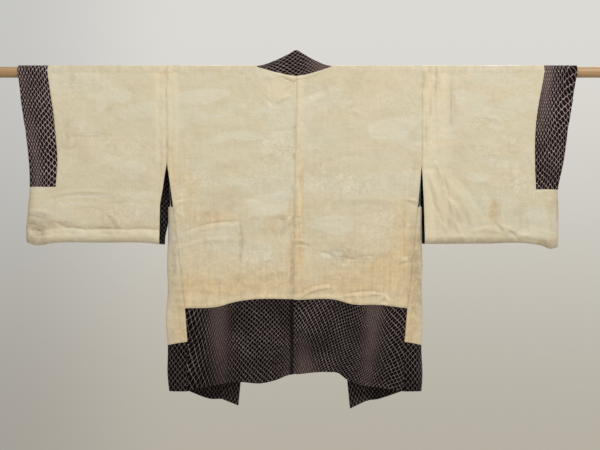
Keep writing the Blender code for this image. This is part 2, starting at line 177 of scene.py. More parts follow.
# Creases are soft ridges, or troughs where the depth is below 0, each along its own line.
creases = {
    "back": table(
        "x0 drop0 x1 drop1 width depth",
        # under the collar, and the tuck at the top of the centre seam
        (-29, 52, -12, 33, 3.4, -1.4), (-38, 66, -21, 56, 3.4, 1.6), (-70, 64, -58, 78, 3.4, -1.2),
        (-52, 86, -42, 82, 4, 1.1), (-26, 18, -11, 26, 3.2, -1.6), (-11, 26, 0, 20, 3.2, -1.5),
        (-20, 16, -4, 20, 3.2, 1.5), (-72, 60, -44, 82, 7, -0.7), (-84, 8, -60, 14, 4, 0.8),
        (12, 86, 58, 57, 8, 1.0), (22, 58, 70, 40, 9, -0.7), (117, 90, 151, 101, 5, 0.8),
        # left half of the body
        (-262, 376, -136, 351, 5, 0.9), (-262, 367, -134, 341, 4, -1.5), (-120, 338, -60, 328, 8, 0.6),
        (-276, 404, -131, 384, 6.5, 1.0), (-272, 394, -136, 374, 7, -0.6),
        (-131, 350, -130, 434, 3.0, -2.6), (-60, 330, -18, 326, 5, 1.2), (-28, 352, -14, 331, 4.6, 4.6),
        (-22, 362, -9, 346, 5, -1.2), (-42, 337, -24, 339, 5, -1.4), (-276, 304, -254, 294, 3.6, 1.4),
        (-280, 297, -258, 288, 4, -0.9), (-280, 318, -262, 330, 3.4, 0.6),
        (-205, 446, -150, 430, 8, 0.6), (-200, 215, -120, 200, 14, 0.8), (-180, 120, -60, 140, 18, 0.8),
        (-90, 470, -20, 455, 8, 0.7), (-240, 480, -170, 470, 8, 0.6), (-235, 505, -120, 508, 7, 0.7),
        (-60, 140, -14, 134, 5, -0.6), (-70, 190, -20, 178, 6, 0.6), (-150, 290, -60, 300, 9, -0.6),
        # right half
        (106, 293, 229, 299, 9, 1.0), (117, 306, 199, 308, 6, -0.6), (250, 290, 272, 297, 3.4, 2.0),
        (246, 299, 268, 306, 5, -0.8), (233, 435, 254, 425, 3.4, 1.9), (236, 443, 256, 433, 4, -1.0),
        (53, 411, 84, 423, 3.6, -1.4), (84, 423, 124, 427, 3.6, -1.4), (124, 427, 175, 421, 3.6, -1.2),
        (60, 404, 170, 414, 7, 0.8), (-6, 385, 18, 387, 3.4, 2.0), (-4, 394, 26, 398, 3.6, -1.4),
        (8, 511, 77, 491, 3.4, 2.4), (4, 503, 72, 483, 4.2, -1.3), (102, 514, 150, 510, 3.2, 1.5),
        (150, 510, 194, 509, 3.2, 2.0), (106, 508, 190, 502, 4, -1.2), (183, 527, 197, 511, 3.2, 2.8),
        (197, 511, 210, 528, 3.2, 2.4), (192, 526, 201, 526, 5, -1.2), (60, 210, 150, 190, 16, -0.8),
        (30, 470, 110, 462, 9, 0.6), (200, 330, 214, 420, 6, 0.6), (224, 320, 232, 400, 5, -0.5),
        (20, 340, 200, 352, 9, 0.6),
        # right sleeve
        (316, 212, 334, 271, 4.2, 3.0), (334, 271, 358, 343, 6, 2.9), (325, 224, 346, 320, 5.4, -2.7),
        (358, 343, 374, 380, 6, 2.3), (349, 296, 371, 331, 4, 1.9), (300, 236, 322, 322, 6.5, 2.4),
        (292, 240, 310, 330, 6, -1.8), (372, 300, 392, 372, 8, -1.6), (452, 340, 484, 380, 8, 2.5),
        (440, 332, 470, 378, 9, -1.9), (500, 330, 506, 376, 8, -1.2), (530, 380, 574, 394, 7, -1.8),
        (310, 300, 330, 350, 4, -1.7), (324, 342, 350, 384, 4, 2.2), (340, 328, 343, 372, 3.2, -2.0),
        (349, 326, 352, 366, 3.4, 1.2), (361, 328, 363, 366, 3.2, -1.5), (361, 376, 380, 378, 3.4, 1.5),
        (332, 240, 400, 356, 12, 1.8), (355, 236, 430, 345, 13, -1.4), (390, 350, 440, 344, 9, 1.2),
        (487, 366, 504, 384, 4.2, -1.9), (470, 354, 494, 366, 4.4, 2.2), (500, 372, 552, 384, 5.4, 0.8),
        (400, 364, 452, 358, 7, 2.0), (504, 382, 560, 392, 6, -1.4), (436, 364, 474, 369, 6, 1.5),
        (524, 328, 529, 374, 3.6, 1.3), (519, 326, 522, 366, 4, -0.9), (520, 192, 529, 222, 3, -1.1),
        (525, 188, 535, 224, 4, 0.8), (548, 276, 575, 274, 4, 0.7), (395, 109, 446, 113, 3.4, -0.9),
        (446, 103, 463, 120, 3.6, 0.9), (430, 280, 474, 336, 15, -1.8), (400, 250, 470, 268, 14, 1.2),
        (560, 300, 574, 350, 7, -1.4),
        # right armhole
        (287, 2, 287, 42, 3, -1.1), (315, -2, 316, 46, 3, -1.4), (348, 19, 350, 130, 3, -1.3),
        (342, 30, 343, 110, 3, -0.7), (300, 62, 301, 106, 3, -1.1), (293, 104, 294, 180, 3, -1.1),
        (294, 2, 295, 70, 4, 0.8), (307, 6, 309, 190, 5, 0.9), (324, 0, 325, 84, 4, 0.8),
        (356, 34, 357, 134, 4, 0.8), (333, 6, 335, 90, 4, 0.6), (283, 200, 290, 330, 5, 0.9),
        # left sleeve
        (-616, 328, -568, 339, 4, -1.7), (-568, 339, -527, 355, 3.6, -1.3),
        (-527, 355, -483, 361, 3.4, -1.5), (-483, 361, -395, 362, 3.4, -1.4),
        (-395, 362, -320, 362, 3.4, -1.2), (-612, 318, -560, 326, 6, 1.0),
        (-425, 326, -405, 350, 5, 1.5), (-434, 328, -417, 354, 5, -1.3), (-440, 360, -412, 376, 6, 1.3),
        (-360, 362, -330, 378, 6, 1.0), (-604, 384, -580, 362, 6, 1.5), (-612, 372, -592, 352, 5, -1.3),
        (-520, 366, -500, 380, 6, -1.0), (-300, 352, -330, 372, 6, 1.0), (-568, 283, -408, 281, 4, 0.9),
        (-560, 291, -420, 290, 4, -0.6), (-506, 146, -422, 146, 4, -0.8), (-536, 22, -521, 8, 3.4, 1.1),
        (-548, 34, -530, 26, 3.6, -0.8), (-545, 90, -530, 140, 10, -0.8),
        (-480, 220, -380, 210, 12, 0.7), (-330, 290, -380, 350, 11, 1.2),
        (-345, 240, -420, 300, 15, 1.2), (-568, 366, -465, 369, 5, 1.2), (-429, 366, -376, 368, 5, 1.1),
        (-610, 350, -580, 372, 6, -2.2), (-613, 346, -590, 352, 3, -1.8),
        (-606, 362, -582, 366, 3, -1.6), (-604, 377, -570, 372, 3.2, -1.7),
        (-615, 364, -598, 384, 3, 1.8), (-596, 322, -574, 330, 3.2, -1.2),
        (-470, 377, -400, 372, 6, -0.9), (-600, 330, -585, 300, 8, -1.0),
        (-450, 306, -350, 302, 4, -0.5), (-520, 312, -430, 308, 4, 0.5),
        # left armhole
        (-310, 8, -309, 262, 3, -0.8), (-325, 10, -324, 200, 4.5, 0.7), (-303, 20, -301, 190, 4, 0.6),
        (-295, 150, -294, 205, 3, -0.6), (-286, 16, -285, 180, 5, 0.5), (-318, 220, -312, 300, 5, 0.7),
    ),
    "front": table(
        "x0 drop0 x1 drop1 width depth",
        (-110, 60, -160, 110, 8, 1.3), (-240, 340, -150, 330, 5, 1.3), (-250, 358, -160, 346, 7, -0.9),
        (-150, 240, -200, 300, 10, 1.0), (-235, 470, -170, 455, 6, 1.0),
        (-190, 380, -188, 450, 4, -1.0), (-215, 150, -130, 170, 14, -0.8),
        (-285, 230, -250, 260, 6, 1.3), (-180, 500, -120, 512, 5, 1.0), (95, 70, 150, 118, 8, 1.3),
        (130, 334, 245, 346, 5, 1.2), (140, 350, 230, 360, 7, -0.9), (150, 250, 210, 290, 10, 1.0),
        (160, 470, 235, 462, 6, 1.0), (205, 390, 208, 460, 4, -0.9), (120, 180, 220, 165, 14, -0.8),
        (270, 235, 240, 262, 6, 1.3), (150, 508, 215, 500, 5, 0.9), (330, 220, 385, 335, 4.5, 1.8),
        (300, 235, 340, 335, 4.5, 1.5), (350, 260, 430, 370, 6, -1.2), (470, 366, 520, 380, 5, -1.7),
        (520, 190, 532, 226, 4, 0.9), (420, 120, 520, 140, 14, 0.8), (340, 20, 342, 120, 4, -1.0),
        (305, 10, 306, 180, 5, 0.8), (400, 300, 470, 290, 8, 0.8), (-340, 225, -400, 330, 5, 1.5),
        (-320, 250, -350, 340, 5, -1.2), (-600, 318, -540, 348, 5, -1.5), (-545, 90, -530, 150, 8, 0.8),
        (-480, 140, -370, 150, 14, -0.8), (-420, 350, -370, 340, 7, 1.0),
        (-312, 14, -310, 170, 4, -0.7), (-560, 280, -430, 286, 5, 0.8), (-470, 360, -400, 356, 5, -1.2),
    ),
}

flutes = {
    "back": table("x width depth top lean", (-120, 70, 4.0, 300, -30), (45, 75, -4.0, 240, 25),
                  (150, 55, 3.5, 330, 20)),
    "front": table("x width depth top lean", (-215, 45, 3.0, 300, -15), (205, 45, 3.0, 280, 15)),
}

# Where seam allowances lie under the lining, and lift it a little.
seamBands = table("x0 x1 drop0 drop1 lift", (1.5, 16, 10, 505, 0.6), (1.5, 16, 120, 505, 0.6),
                  (284, 347, 0, 214, 0.7), (-326, -301, 0, 212, 0.6), (-297, -272, 0, 205, 0.5),
                  (-5, 1, 150, 520, -1.0))


def hemAt(x):  # the drop where the back's lining meets the turned-up hem
    return np.where(x < cloth["centre"], *(smooth(cut["backFacing"][side], "out", "drop", np.abs(x))
                                           for side in sides))


def cuffAt(x, drop):  # how far out the sleeve's lining meets the cuff
    return np.where(x < cloth["centre"], *(smooth(cut["cuffFacing"], "drop", side, drop)
                                           for side in sides))


def slowWaves(x, drop):  # the silk never hangs quite flat
    u, v = x / 100, drop / 100
    wave = np.sin(2.1 * u + 1.3 * np.sin(1.1 * v + 0.4)) * np.sin(1.7 * v + 0.9 * np.sin(1.6 * u))
    fine = np.sin(6.3 * u + 2.2 * v + np.sin(3.1 * v)) * np.sin(5.1 * v - 1.4 * u + 0.7)
    return 0.9 * wave + 0.28 * fine


def wrinkles(x, drop):  # small ones, longer across than down, more of them low on the body
    u, v = x / 31 + 0.6 * np.sin(drop / 47), drop / 9.5 + 0.9 * np.sin(x / 38 + drop / 60)
    small = np.sin(v + 1.7 * np.sin(u)) * np.sin(0.43 * v + 1.3 * u) * np.sin(0.9 * u - 0.21 * v)
    return 0.34 * small * (0.35 + 0.65 * ease(180, 420, drop))


def fluteDepth(face, x, drop):
    rows, total = flutes[face], 0
    for spot, width, depth, top, lean in each(rows):
        grown = np.clip((drop - top) / (700 - top), 0, 1)
        away = np.clip((x - spot + lean * (1 - grown)) / width, -1, 1)
        total = total + depth * grown * (0.5 + 0.5 * np.cos(pi * away))
    return total


creaseLook = {
    "gain": 1.5,
    "bow": 0.06,        # sideways, as a share of the length: no crease is quite straight
    "atEnds": 0.45,     # the depth there, as a share of the middle's
    "pastEnds": 1.5,    # how far it goes on, in widths
    "sharp": 0.45,      # the crest's, in widths
    "underWide": 2.2,   # how much wider it is in the shell
}


def creaseDepth(face, x, drop, under):  # the shell under the lining follows its troughs only
    look, total = creaseLook, 0
    for x0, d0, x1, d1, width, depth in each(creases[face]):
        if under and depth > 0:
            continue
        width = width * look["underWide"] if under else width
        along = np.array((x1 - x0, d1 - d0))
        length = np.hypot(*along)
        t = ((x - x0) * along[0] + (drop - d0) * along[1]) / length**2
        middle = np.sin(pi * np.clip(t, 0, 1))
        off = ((x - x0) * along[1] - (drop - d0) * along[0]) / length - look["bow"] * length * middle
        ends = np.clip(np.maximum(-t, t - 1), 0, None) * length
        fade = np.exp(-(ends / (look["pastEnds"] * width))**2)
        fade = fade * (look["atEnds"] + (1 - look["atEnds"]) * middle)
        crest = np.exp(-(np.sqrt((off / (look["sharp"] * width))**2 + 1) - 1))  # soft beside its top
        total = total + look["gain"] * depth * fade * crest
    return total


def puckers(off, drop):  # short gathers that a hand-sewn seam pulls into the silk beside it
    beat = np.sin(drop / 5.3 + 2 * np.sin(drop / 31)) * np.sin(drop / 17 + 1.1)
    return 0.35 * beat * np.exp(-np.abs(off) / 9)


def clothRelief(face, x, drop, under=False):
    flatOnRod = ease(1, 18, drop)
    total = slowWaves(x, drop) + creaseDepth(face, x, drop, under)
    if under:
        return (total - 0.4) * flatOnRod
    total = total + wrinkles(x, drop)
    offSeam = x - straight(cut["centreSeam"], "drop", "x", drop)
    for off in (offSeam, x + 298, x - 283):  # centre back, and both armholes
        total = total + puckers(off, drop)
    if face == "back":
        for x0, x1, d0, d1, lift in each(seamBands):
            at = offSeam if abs(x0) < 20 else x
            band = ease(x0 - 2, x0 + 2, at) * (1 - ease(x1 - 2, x1 + 2, at))
            total = total + lift * band * ease(d0 - 6, d0 + 6, drop) * (1 - ease(d1 - 8, d1 + 8, drop))
    return total * flatOnRod + seamLips(face, x, drop)


def seamLips(face, x, drop):  # the lining swells a little over each seam where it meets the net
    out = np.abs(x)
    total = 0.8 * (1 - ease(-3, 2, out - cuffAt(x, drop))) * (out > 320) * ease(2, 20, drop)
    if face == "back":
        above = hemAt(x) - drop
        swell = 0.9 * np.exp(-((above - 4) / 3.4)**2) * (above > -2) + 0.4 * ease(-2, 3, above)
        total = total + (1 - ease(262, 290, out)) * swell
        share = np.abs(x - cloth["centre"]) / 55  # under the collar
        below = drop - (11 - 13 * share**1.6)
        total = total + 1.3 * np.exp(-((below - 3.5) / 2.6)**2) * (1 - ease(0.75, 1.0, share))
    return total


overLength = cloth["hangRadius"] * pi  # round the rod, from mid height at the back to the front


def hang(x, path, under=False):  # path runs up the back below 0, over the rod, then down the front
    radius = cloth["hangRadius"]
    x, path = np.broadcast_arrays(np.asarray(x, float), np.asarray(path, float))
    turn = np.clip(path / radius, 0, pi)
    y, z = -radius * np.cos(turn), radius * np.sin(turn)
    for face, sign, drop in (("back", -1, -path), ("front", 1, path - overLength)):
        below = drop > 0
        drop = np.clip(drop, 0, None)
        away = radius - drop * cloth["taper"] + fluteDepth(face, x, drop)
        away = away + clothRelief(face, x, drop, under)
        y = np.where(below, sign * away, y)
        z = np.where(below, -drop, z)
    return np.stack((x, y, z), axis=-1)


def borderDistance(points, cells):  # from each point to the piece's nearest edge, in metres
    pairs = np.concatenate([cells[:, [k, (k + 1) % 4]] for k in range(4)])
    ends, count = np.unique(np.sort(pairs, axis=1), axis=0, return_counts=True)
    away = np.full(len(points), 1.0)
    away[ends[count == 1].ravel()] = 0
    length = np.linalg.norm(points[ends[:, 0]] - points[ends[:, 1]], axis=1)
    for _ in range(6):  # that many cells in from the edge is as far as the finish asks
        for a, b in (ends.T, ends.T[::-1]):
            np.minimum.at(away, a, away[b] + length)
    return away


class Drape:  # a surface of four-sided cells, with the cloth's own coordinates and a region each
    def __init__(self):
        self.corners, self.flats, self.cells, self.regions = [], [], [], []

    def add(self, points, flat, region, outward):
        start = sum(len(block) for block in self.corners)
        rows, columns = points.shape[:2]
        index = np.arange(rows * columns).reshape(rows, columns) + start
        self.corners.append(points.reshape(-1, 3))
        self.flats.append(flat.reshape(-1, 2))
        ring = (index[:-1, :-1], index[:-1, 1:], index[1:, 1:], index[1:, :-1])
        cells = np.stack(ring, axis=-1).reshape(-1, 4)
        near = points.reshape(-1, 3)[cells - start]
        facing = np.cross(near[:, 2] - near[:, 0], near[:, 3] - near[:, 1]).sum(axis=0)
        self.cells.append(cells if facing @ np.array(outward) > 0 else cells[:, ::-1])
        self.regions.append(np.full(len(cells), region))

    def close(self):  # welds the blocks
        points = np.concatenate(self.corners)
        self.flat = np.concatenate(self.flats)
        self.cell = np.concatenate(self.cells)
        self.region = np.concatenate(self.regions)
        grid = np.round(points * 500)  # of 0.002 mm
        _, first, weld = np.unique(grid, axis=0, return_index=True, return_inverse=True)
        self.point = points[first]
        self.weld = weld.reshape(-1)
        corners = self.point[self.weld[self.cell]]
        normal = np.cross(corners[:, 2] - corners[:, 0], corners[:, 3] - corners[:, 1])
        self.normal = np.zeros_like(self.point)
        for k in range(4):
            np.add.at(self.normal, self.weld[self.cell[:, k]], normal)
        self.normal /= np.linalg.norm(self.normal, axis=1)[:, None] + 1e-12
        return self

    def piece(self, name, material, regions, lift=0.0, wall=None, rounded=0.35):
        cell = self.cell[np.isin(self.region, regions)]
        welded = self.weld[cell]
        sound = [len(set(ring)) == 4 for ring in welded.tolist()]
        cell, welded = cell[sound], welded[sound]
        used, local = np.unique(welded, return_inverse=True)
        points = (self.point[used] + self.normal[used] * lift) * mm
        mesh = bpy.data.meshes.new(name)
        mesh.from_pydata(points.tolist(), [], local.reshape(-1, 4).tolist())
        layer = mesh.uv_layers.new(name="cloth")
        layer.data.foreach_set("uv", (self.flat[cell] * mm).astype(np.float32).ravel())
        marks = {kind: clothPatches(kind, self.point[used]) for kind in patches}
        marks["border"] = borderDistance(points, local.reshape(-1, 4))
        for kind, values in marks.items():
            mesh.attributes.new(kind, "FLOAT", "POINT").data.foreach_set("value", values.astype(np.float32))
        mesh.shade_smooth()
        mesh.materials.append(material)
        item = place(name, mesh)
        shell = item.modifiers.new("wall", "SOLIDIFY")
        shell.thickness = (wall or cloth["wall"]) * mm
        shell.offset = 1
        bevel = item.modifiers.new("rounded", "BEVEL")
        bevel.width = rounded * mm
        bevel.segments = 2 if rounded > 0.5 else 1
        bevel.limit_method = "ANGLE"
        bevel.angle_limit = radians(50)
        bevel.harden_normals = True
        return item


# Soft patches, each tall and wide about a middle: where the silk has yellowed, where it is paler over a
# seam allowance or carries a painted highlight, where painted shade darkens creases, seams, the sleeves'
# bottom roll and corners along with some soiling, where the clouds lie, and where the flowers cluster.
patches = {
    "age": table(
        "x drop wide tall strength",
        (-306, 4, 24, 10, 0.8), (-290, 190, 18, 60, 0.5), (6, 150, 8, 160, 0.5), (4, 262, 9, 50, 0.9),
        (2, 420, 10, 130, 0.8), (-6, 450, 15, 60, 0.9), (-131, 492, 26, 26, 0.8),
        (-250, 506, 20, 14, 0.5), (222, 470, 34, 44, 0.7), (-50, 470, 40, 26, 0.35),
        (-170, 330, 50, 14, 0.35), (30, 300, 60, 20, 0.25), (60, 215, 60, 30, 0.25),
        (-120, 230, 60, 24, 0.2), (-215, 340, 40, 30, 0.5), (-250, 240, 26, 60, 0.6),
        (-60, 350, 14, 20, 0.5), (236, 330, 26, 60, 0.25), (110, 500, 30, 26, 0.6),
        (190, 470, 30, 30, 0.6), (300, 40, 26, 90, 0.45), (272, 205, 14, 45, 0.6),
        (-262, 330, 22, 60, 0.3), (240, 400, 40, 100, 0.5), (-235, 490, 44, 40, 0.35),
        (60, 500, 170, 46, 0.35), (-300, 250, 20, 60, 0.4), (150, 450, 60, 60, 0.25),
        (120, 90, 50, 40, 0.2), (470, 190, 60, 50, 0.25), (-520, 160, 40, 60, 0.25),
        (-450, 330, 80, 24, 0.25), (-140, 505, 120, 35, 0.35), (256, 590, 22, 44, 0.9),
        # (448, 314) is a brown spot of painted shade below a fold of the right sleeve
        (-268, 585, 26, 44, 0.75), (448, 314, 18, 30, 0.8), (-95, 75, 50, 40, 0.2),
        (-12, 330, 26, 34, 0.3), (-20, 515, 30, 26, 0.5), (540, 330, 50, 50, 0.25),
        (262, 480, 14, 110, 0.5), (-262, 520, 14, 80, 0.3),
    ),
    # Pale rows: the bands by the armholes and the centre seam are paler silk over seam allowances; the four
    # spots along the crease at x -26 to -14, the spots at (245, 429), (262, 292) and (1, 338), and the long
    # strip at (302, 290) on the right sleeve are painted highlights on ridges and folds; the strips at drop
    # 515 just above the hem are partly painted highlight on the lining's roll.
    "pale": table(
        "x drop wide tall strength",
        (-314, 90, 13, 110, 0.75), (-284, 100, 14, 120, 0.6), (6, 60, 7, 90, 0.9), (3, 230, 8, 60, 0.7),
        (4, 330, 6, 60, 0.5), (-26.5, 348.5, 3.2, 3, 1.0), (-22.5, 343, 3.2, 3.2, 1.0),
        (-18.5, 338, 3, 3.2, 1.0), (-14.5, 333, 2.8, 3, 1.0), (245, 429, 8, 3, 0.9),
        (262, 292, 8, 3, 0.9), (-15, 21, 9, 3, 0.8), (298, 100, 15, 130, 0.95), (328, 60, 14, 80, 0.8),
        (316, 180, 30, 60, 0.5), (-40, 45, 34, 20, 0.6), (-140, 515, 130, 12, 0.6),
        (120, 515, 120, 12, 0.5), (196, 522, 12, 12, 1.0), (-268, 300, 12, 40, 0.5),
        (335, 290, 26, 60, 0.5), (-50, 4, 24, 5, 0.6), (302, 290, 11, 96, 1.0), (1, 338, 7, 5, 1.0),
        (0, 326, 5, 2, 0.4),
    ),
    # Soil-and-shade rows are mostly painted shade: in the troughs beside the centre seam, in creases and
    # the tuck, along the armholes, under the right sleeve's bottom roll and in the left sleeve's lower
    # corner; some are soiling.
    "soilAndShade": table(
        "x drop wide tall strength",
        (-5, 110, 2.8, 44, 0.35), (-6, 130, 4, 8, 0.9), (-8, 192, 4, 9, 0.9), (-10, 268, 4, 11, 0.9),
        (-11, 330, 3.5, 8, 0.8), (-10, 354, 3.2, 20, 0.8), (-34, 337, 9, 4.5, 0.55),
        (-27, 341, 5, 3.5, 0.4), (1, 330, 7, 2.2, 0.4), (-12, 430, 4.5, 60, 0.9),
        (-12, 480, 3.6, 50, 0.8), (-131, 392, 1.9, 43, 1.3), (-21, 25, 6, 1.6, 0.6),
        (-10, 28.5, 5, 1.7, 0.9), (-2, 25, 4, 2, 0.5), (-265, 600, 20, 24, 0.25),
        (257, 596, 16, 34, 0.35), (-130, 480, 10, 34, 0.25), (287, 20, 3, 24, 0.5),
        (315, 22, 3, 26, 0.8), (349, 74, 3, 56, 0.75), (301, 84, 3, 22, 0.6), (293, 142, 3, 38, 0.6),
        (-310, 130, 3, 130, 0.45), (-295, 178, 3, 26, 0.6), (284, 120, 2.5, 110, 0.4),
        (-176, 480, 12, 8, 0.4), (-556, 108, 8, 9, 0.5), (-210, 500, 12, 5, 0.4),
        (-592, 338, 28, 16, 0.95), (-545, 344, 34, 6, 0.8), (-440, 358, 60, 3, 0.7),
        (-600, 370, 28, 22, 1.3), (-612, 372, 14, 26, 1.0), (-480, 386, 120, 5, 0.4),
        (449, 313, 13, 24, 0.6), (270, 450, 15, 110, 1.0), (-281, 400, 6, 110, 0.8),
        (-268, 440, 12, 140, 0.22), (-60, 365, 40, 8, 0.3), (40, 340, 20, 50, 0.2),
        (-190, 385, 60, 8, 0.3), (400, 386, 116, 9, 0.75), (100, 404, 32, 20, 0.35),
        (-176, 296, 46, 24, 0.28), (130, 412, 70, 22, 0.2), (-60, 250, 50, 20, 0.12),
        (60, 230, 60, 24, 0.14), (572, 392, 26, 12, 0.8), (486, 366, 12, 5, 0.7),
        (582, 330, 8, 50, 0.4), (540, 390, 40, 6, 0.4), (120, 426, 60, 2.5, 0.6),
        (-520, 150, 30, 40, 0.25), (-470, 146, 44, 3, 0.5), (-380, 240, 50, 26, 0.2),
        (120, 300, 60, 26, 0.15), (-90, 350, 60, 26, 0.15), (420, 112, 26, 3, 0.4),
    ),
    "cool": table(
        "x drop wide tall strength",
        (-222, 55, 60, 24, 1.3), (-131, 143, 54, 13, 1.1), (-191, 160, 56, 11, 0.7),
        (213, 126, 62, 24, 1.3), (-66, 296, 54, 20, 1.1), (-74, 318, 46, 14, 0.9),
        (159, 291, 58, 11, 0.8), (82, 347, 54, 21, 1.4), (32, 69, 34, 16, 0.6), (78, 418, 46, 15, 0.7),
        (-430, 60, 70, 26, 0.9), (-385, 224, 50, 24, 1.0), (-478, 283, 80, 5, 1.1),
        (-500, 300, 60, 4, 0.7), (-350, 280, 50, 12, 0.7), (-500, 120, 46, 14, 0.6),
        (-430, 190, 60, 12, 0.6), (400, 60, 66, 20, 0.8), (360, 150, 44, 12, 0.6),
        (470, 130, 54, 16, 0.5), (405, 236, 56, 16, 0.8), (530, 320, 36, 26, 0.7),
        (340, 330, 40, 18, 0.6), (120, 30, 60, 12, 0.5), (-60, 90, 34, 10, 0.5),
    ),
    "bloom": table(
        "x drop wide tall strength",
        (-55, 175, 44, 34, 0.8), (103, 250, 82, 28, 1.0), (-107, 422, 46, 30, 1.0),
        (122, 420, 62, 32, 0.9), (-106, 258, 26, 16, 0.8), (-440, 160, 60, 30, 0.6),
        (-380, 320, 60, 24, 0.6), (430, 180, 60, 30, 0.6), (500, 260, 50, 30, 0.6),
        (400, 110, 50, 20, 0.5), (-520, 60, 40, 30, 0.5), (200, 60, 50, 30, 0.5),
        (-200, 250, 60, 26, 0.5), (210, 350, 40, 30, 0.5),
    ),
}


def clothPatches(kind, points):
    x, drop, rows = points[:, 0], -points[:, 2], patches[kind]
    total = 0 * x
    if kind == "age":  # more of it low on the body
        total = 0.48 * ease(220, 520, drop) * (1 - 0.6 * ease(252, 266, np.abs(x))) * (np.abs(x) < 300)
    if kind == "pale":  # a thin painted highlight along the lining's lip where it is turned in over the net, and beside the cuff's facing
        wide, out = 2.4, np.abs(x)
        total = np.exp(-((hemAt(x) - drop) / wide)**2) * (out < 260) * (points[:, 1] < 0)
        beside = np.exp(-((cuffAt(x, drop) - out) / wide)**2)
        total = total + 0.6 * beside * (drop < cut["cuffEnd"]["right"])
    if kind == "soilAndShade":  # painted shade over the rod's top, and along the seam between body and gusset
        total = 0.5 * ease(7, -4, drop)
        for side, sign in sides.items():
            off = sign * x - straight(cut["backSide"], "drop", side, drop)
            uneven = 0.75 + 0.45 * np.sin(drop / 19 + sign) * np.sin(drop / 7.3)
            beside = (drop > cut["gussetTop"] - 2) * (drop < cut["sideFacing"] + 2)
            total = total + 0.8 * uneven * np.exp(-(off / 1.7)**4) * beside
    power = 4 if kind in ("pale", "soilAndShade") else 2  # firm-edged, or fading
    for spot, low, wide, tall, strength in each(rows):
        away = np.abs((x - spot) / wide)**power + np.abs((drop - low) / tall)**power
        total = total + strength * np.exp(-away)
    return np.clip(total, 0, 1)


def steps(low, high, size):
    return np.linspace(low, high, max(int(np.ceil(abs(high - low) / size)), 1) + 1)


def bodyDrape(side, under=False):
    sign, centre, half = sides[side], cloth["centre"], cut["neckHalf"][side]
    cell = cloth["shellCell" if under else "cell"]
    neckShare = half / abs(sign * cut["backSide"][side][0] - centre)
    inNeck = steps(0, half, cell) / half * neckShare
    beyond = steps(0, 1, cell / (cloth["halfBack"] - half))
    spots = np.concatenate((inNeck, neckShare + (1 - neckShare) * beyond[1:]))
    neckTop = cut["backNeck"]["seamRise"][-1]

    def backX(drop):
        seam = straight(cut["centreSeam"], "drop", "x", drop)
        return seam + (sign * straight(cut["backSide"], "drop", side, drop) - seam) * spots

    def frontX(drop):
        edge = straight(cut["frontSide"], "drop", side, drop)
        seam = straight(cut["collarSeam"], "drop", side, drop)
        return sign * (seam + (edge - seam) * beyond)

    def backHem(x):
        return -smooth(cut["backHem"][side], "out", "drop", np.abs(x))

    def backSeam(x):
        return -smooth(cut["backFacing"][side], "out", "drop", np.abs(x))

    def neckline(x):
        out = np.abs(x - centre) / half
        return smooth(cut["backNeck"], "seamOut", "seamRise", np.minimum(out, 1))

    def frontHem(x):
        return overLength + smooth(cut["frontHem"][side], "out", "drop", np.abs(x))

    def frontSeam(x):
        beside = ease(200, 250, np.abs(x))
        upper = cut["sideHem"] - cut["sideFacing"] - cut["hemFacing"]
        return frontHem(x) - cut["hemFacing"] - upper * beside

    drape = Drape()

    def block(region, xAt, low, high, length, outward):  # length only sets how many rows
        rows, start = (cloth["backRows"], -500) if xAt is backX else (cloth["frontRows"], 500)
        share = steps(0, 1, cell * rows / length)[:, None]
        path = start + np.zeros((len(share), len(xAt(np.zeros((1, 1)))[0])))
        for _ in range(5):  # a point's place and its drop depend on each other
            drop = np.maximum(-path, path - overLength).clip(0)
            x = xAt(drop)
            path = low(x) + (high(x) - low(x)) * share
        drape.add(hang(x, path, under), np.stack((x, path), axis=-1), region, outward)

    block("backHem", backX, backHem, backSeam, 180, (0, -1, 0))
    block("body", backX, backSeam, neckline, 530, (0, -1, 0))
    block("body", frontX, lambda x: neckTop + 0 * x, lambda x: overLength + 0 * x, 42, (0, 1, 1))
    block("body", frontX, lambda x: overLength + 0 * x, frontSeam, 530, (0, 1, 0))
    block("frontHem", frontX, frontSeam, frontHem, 175, (0, 1, 0))
    return drape.close()


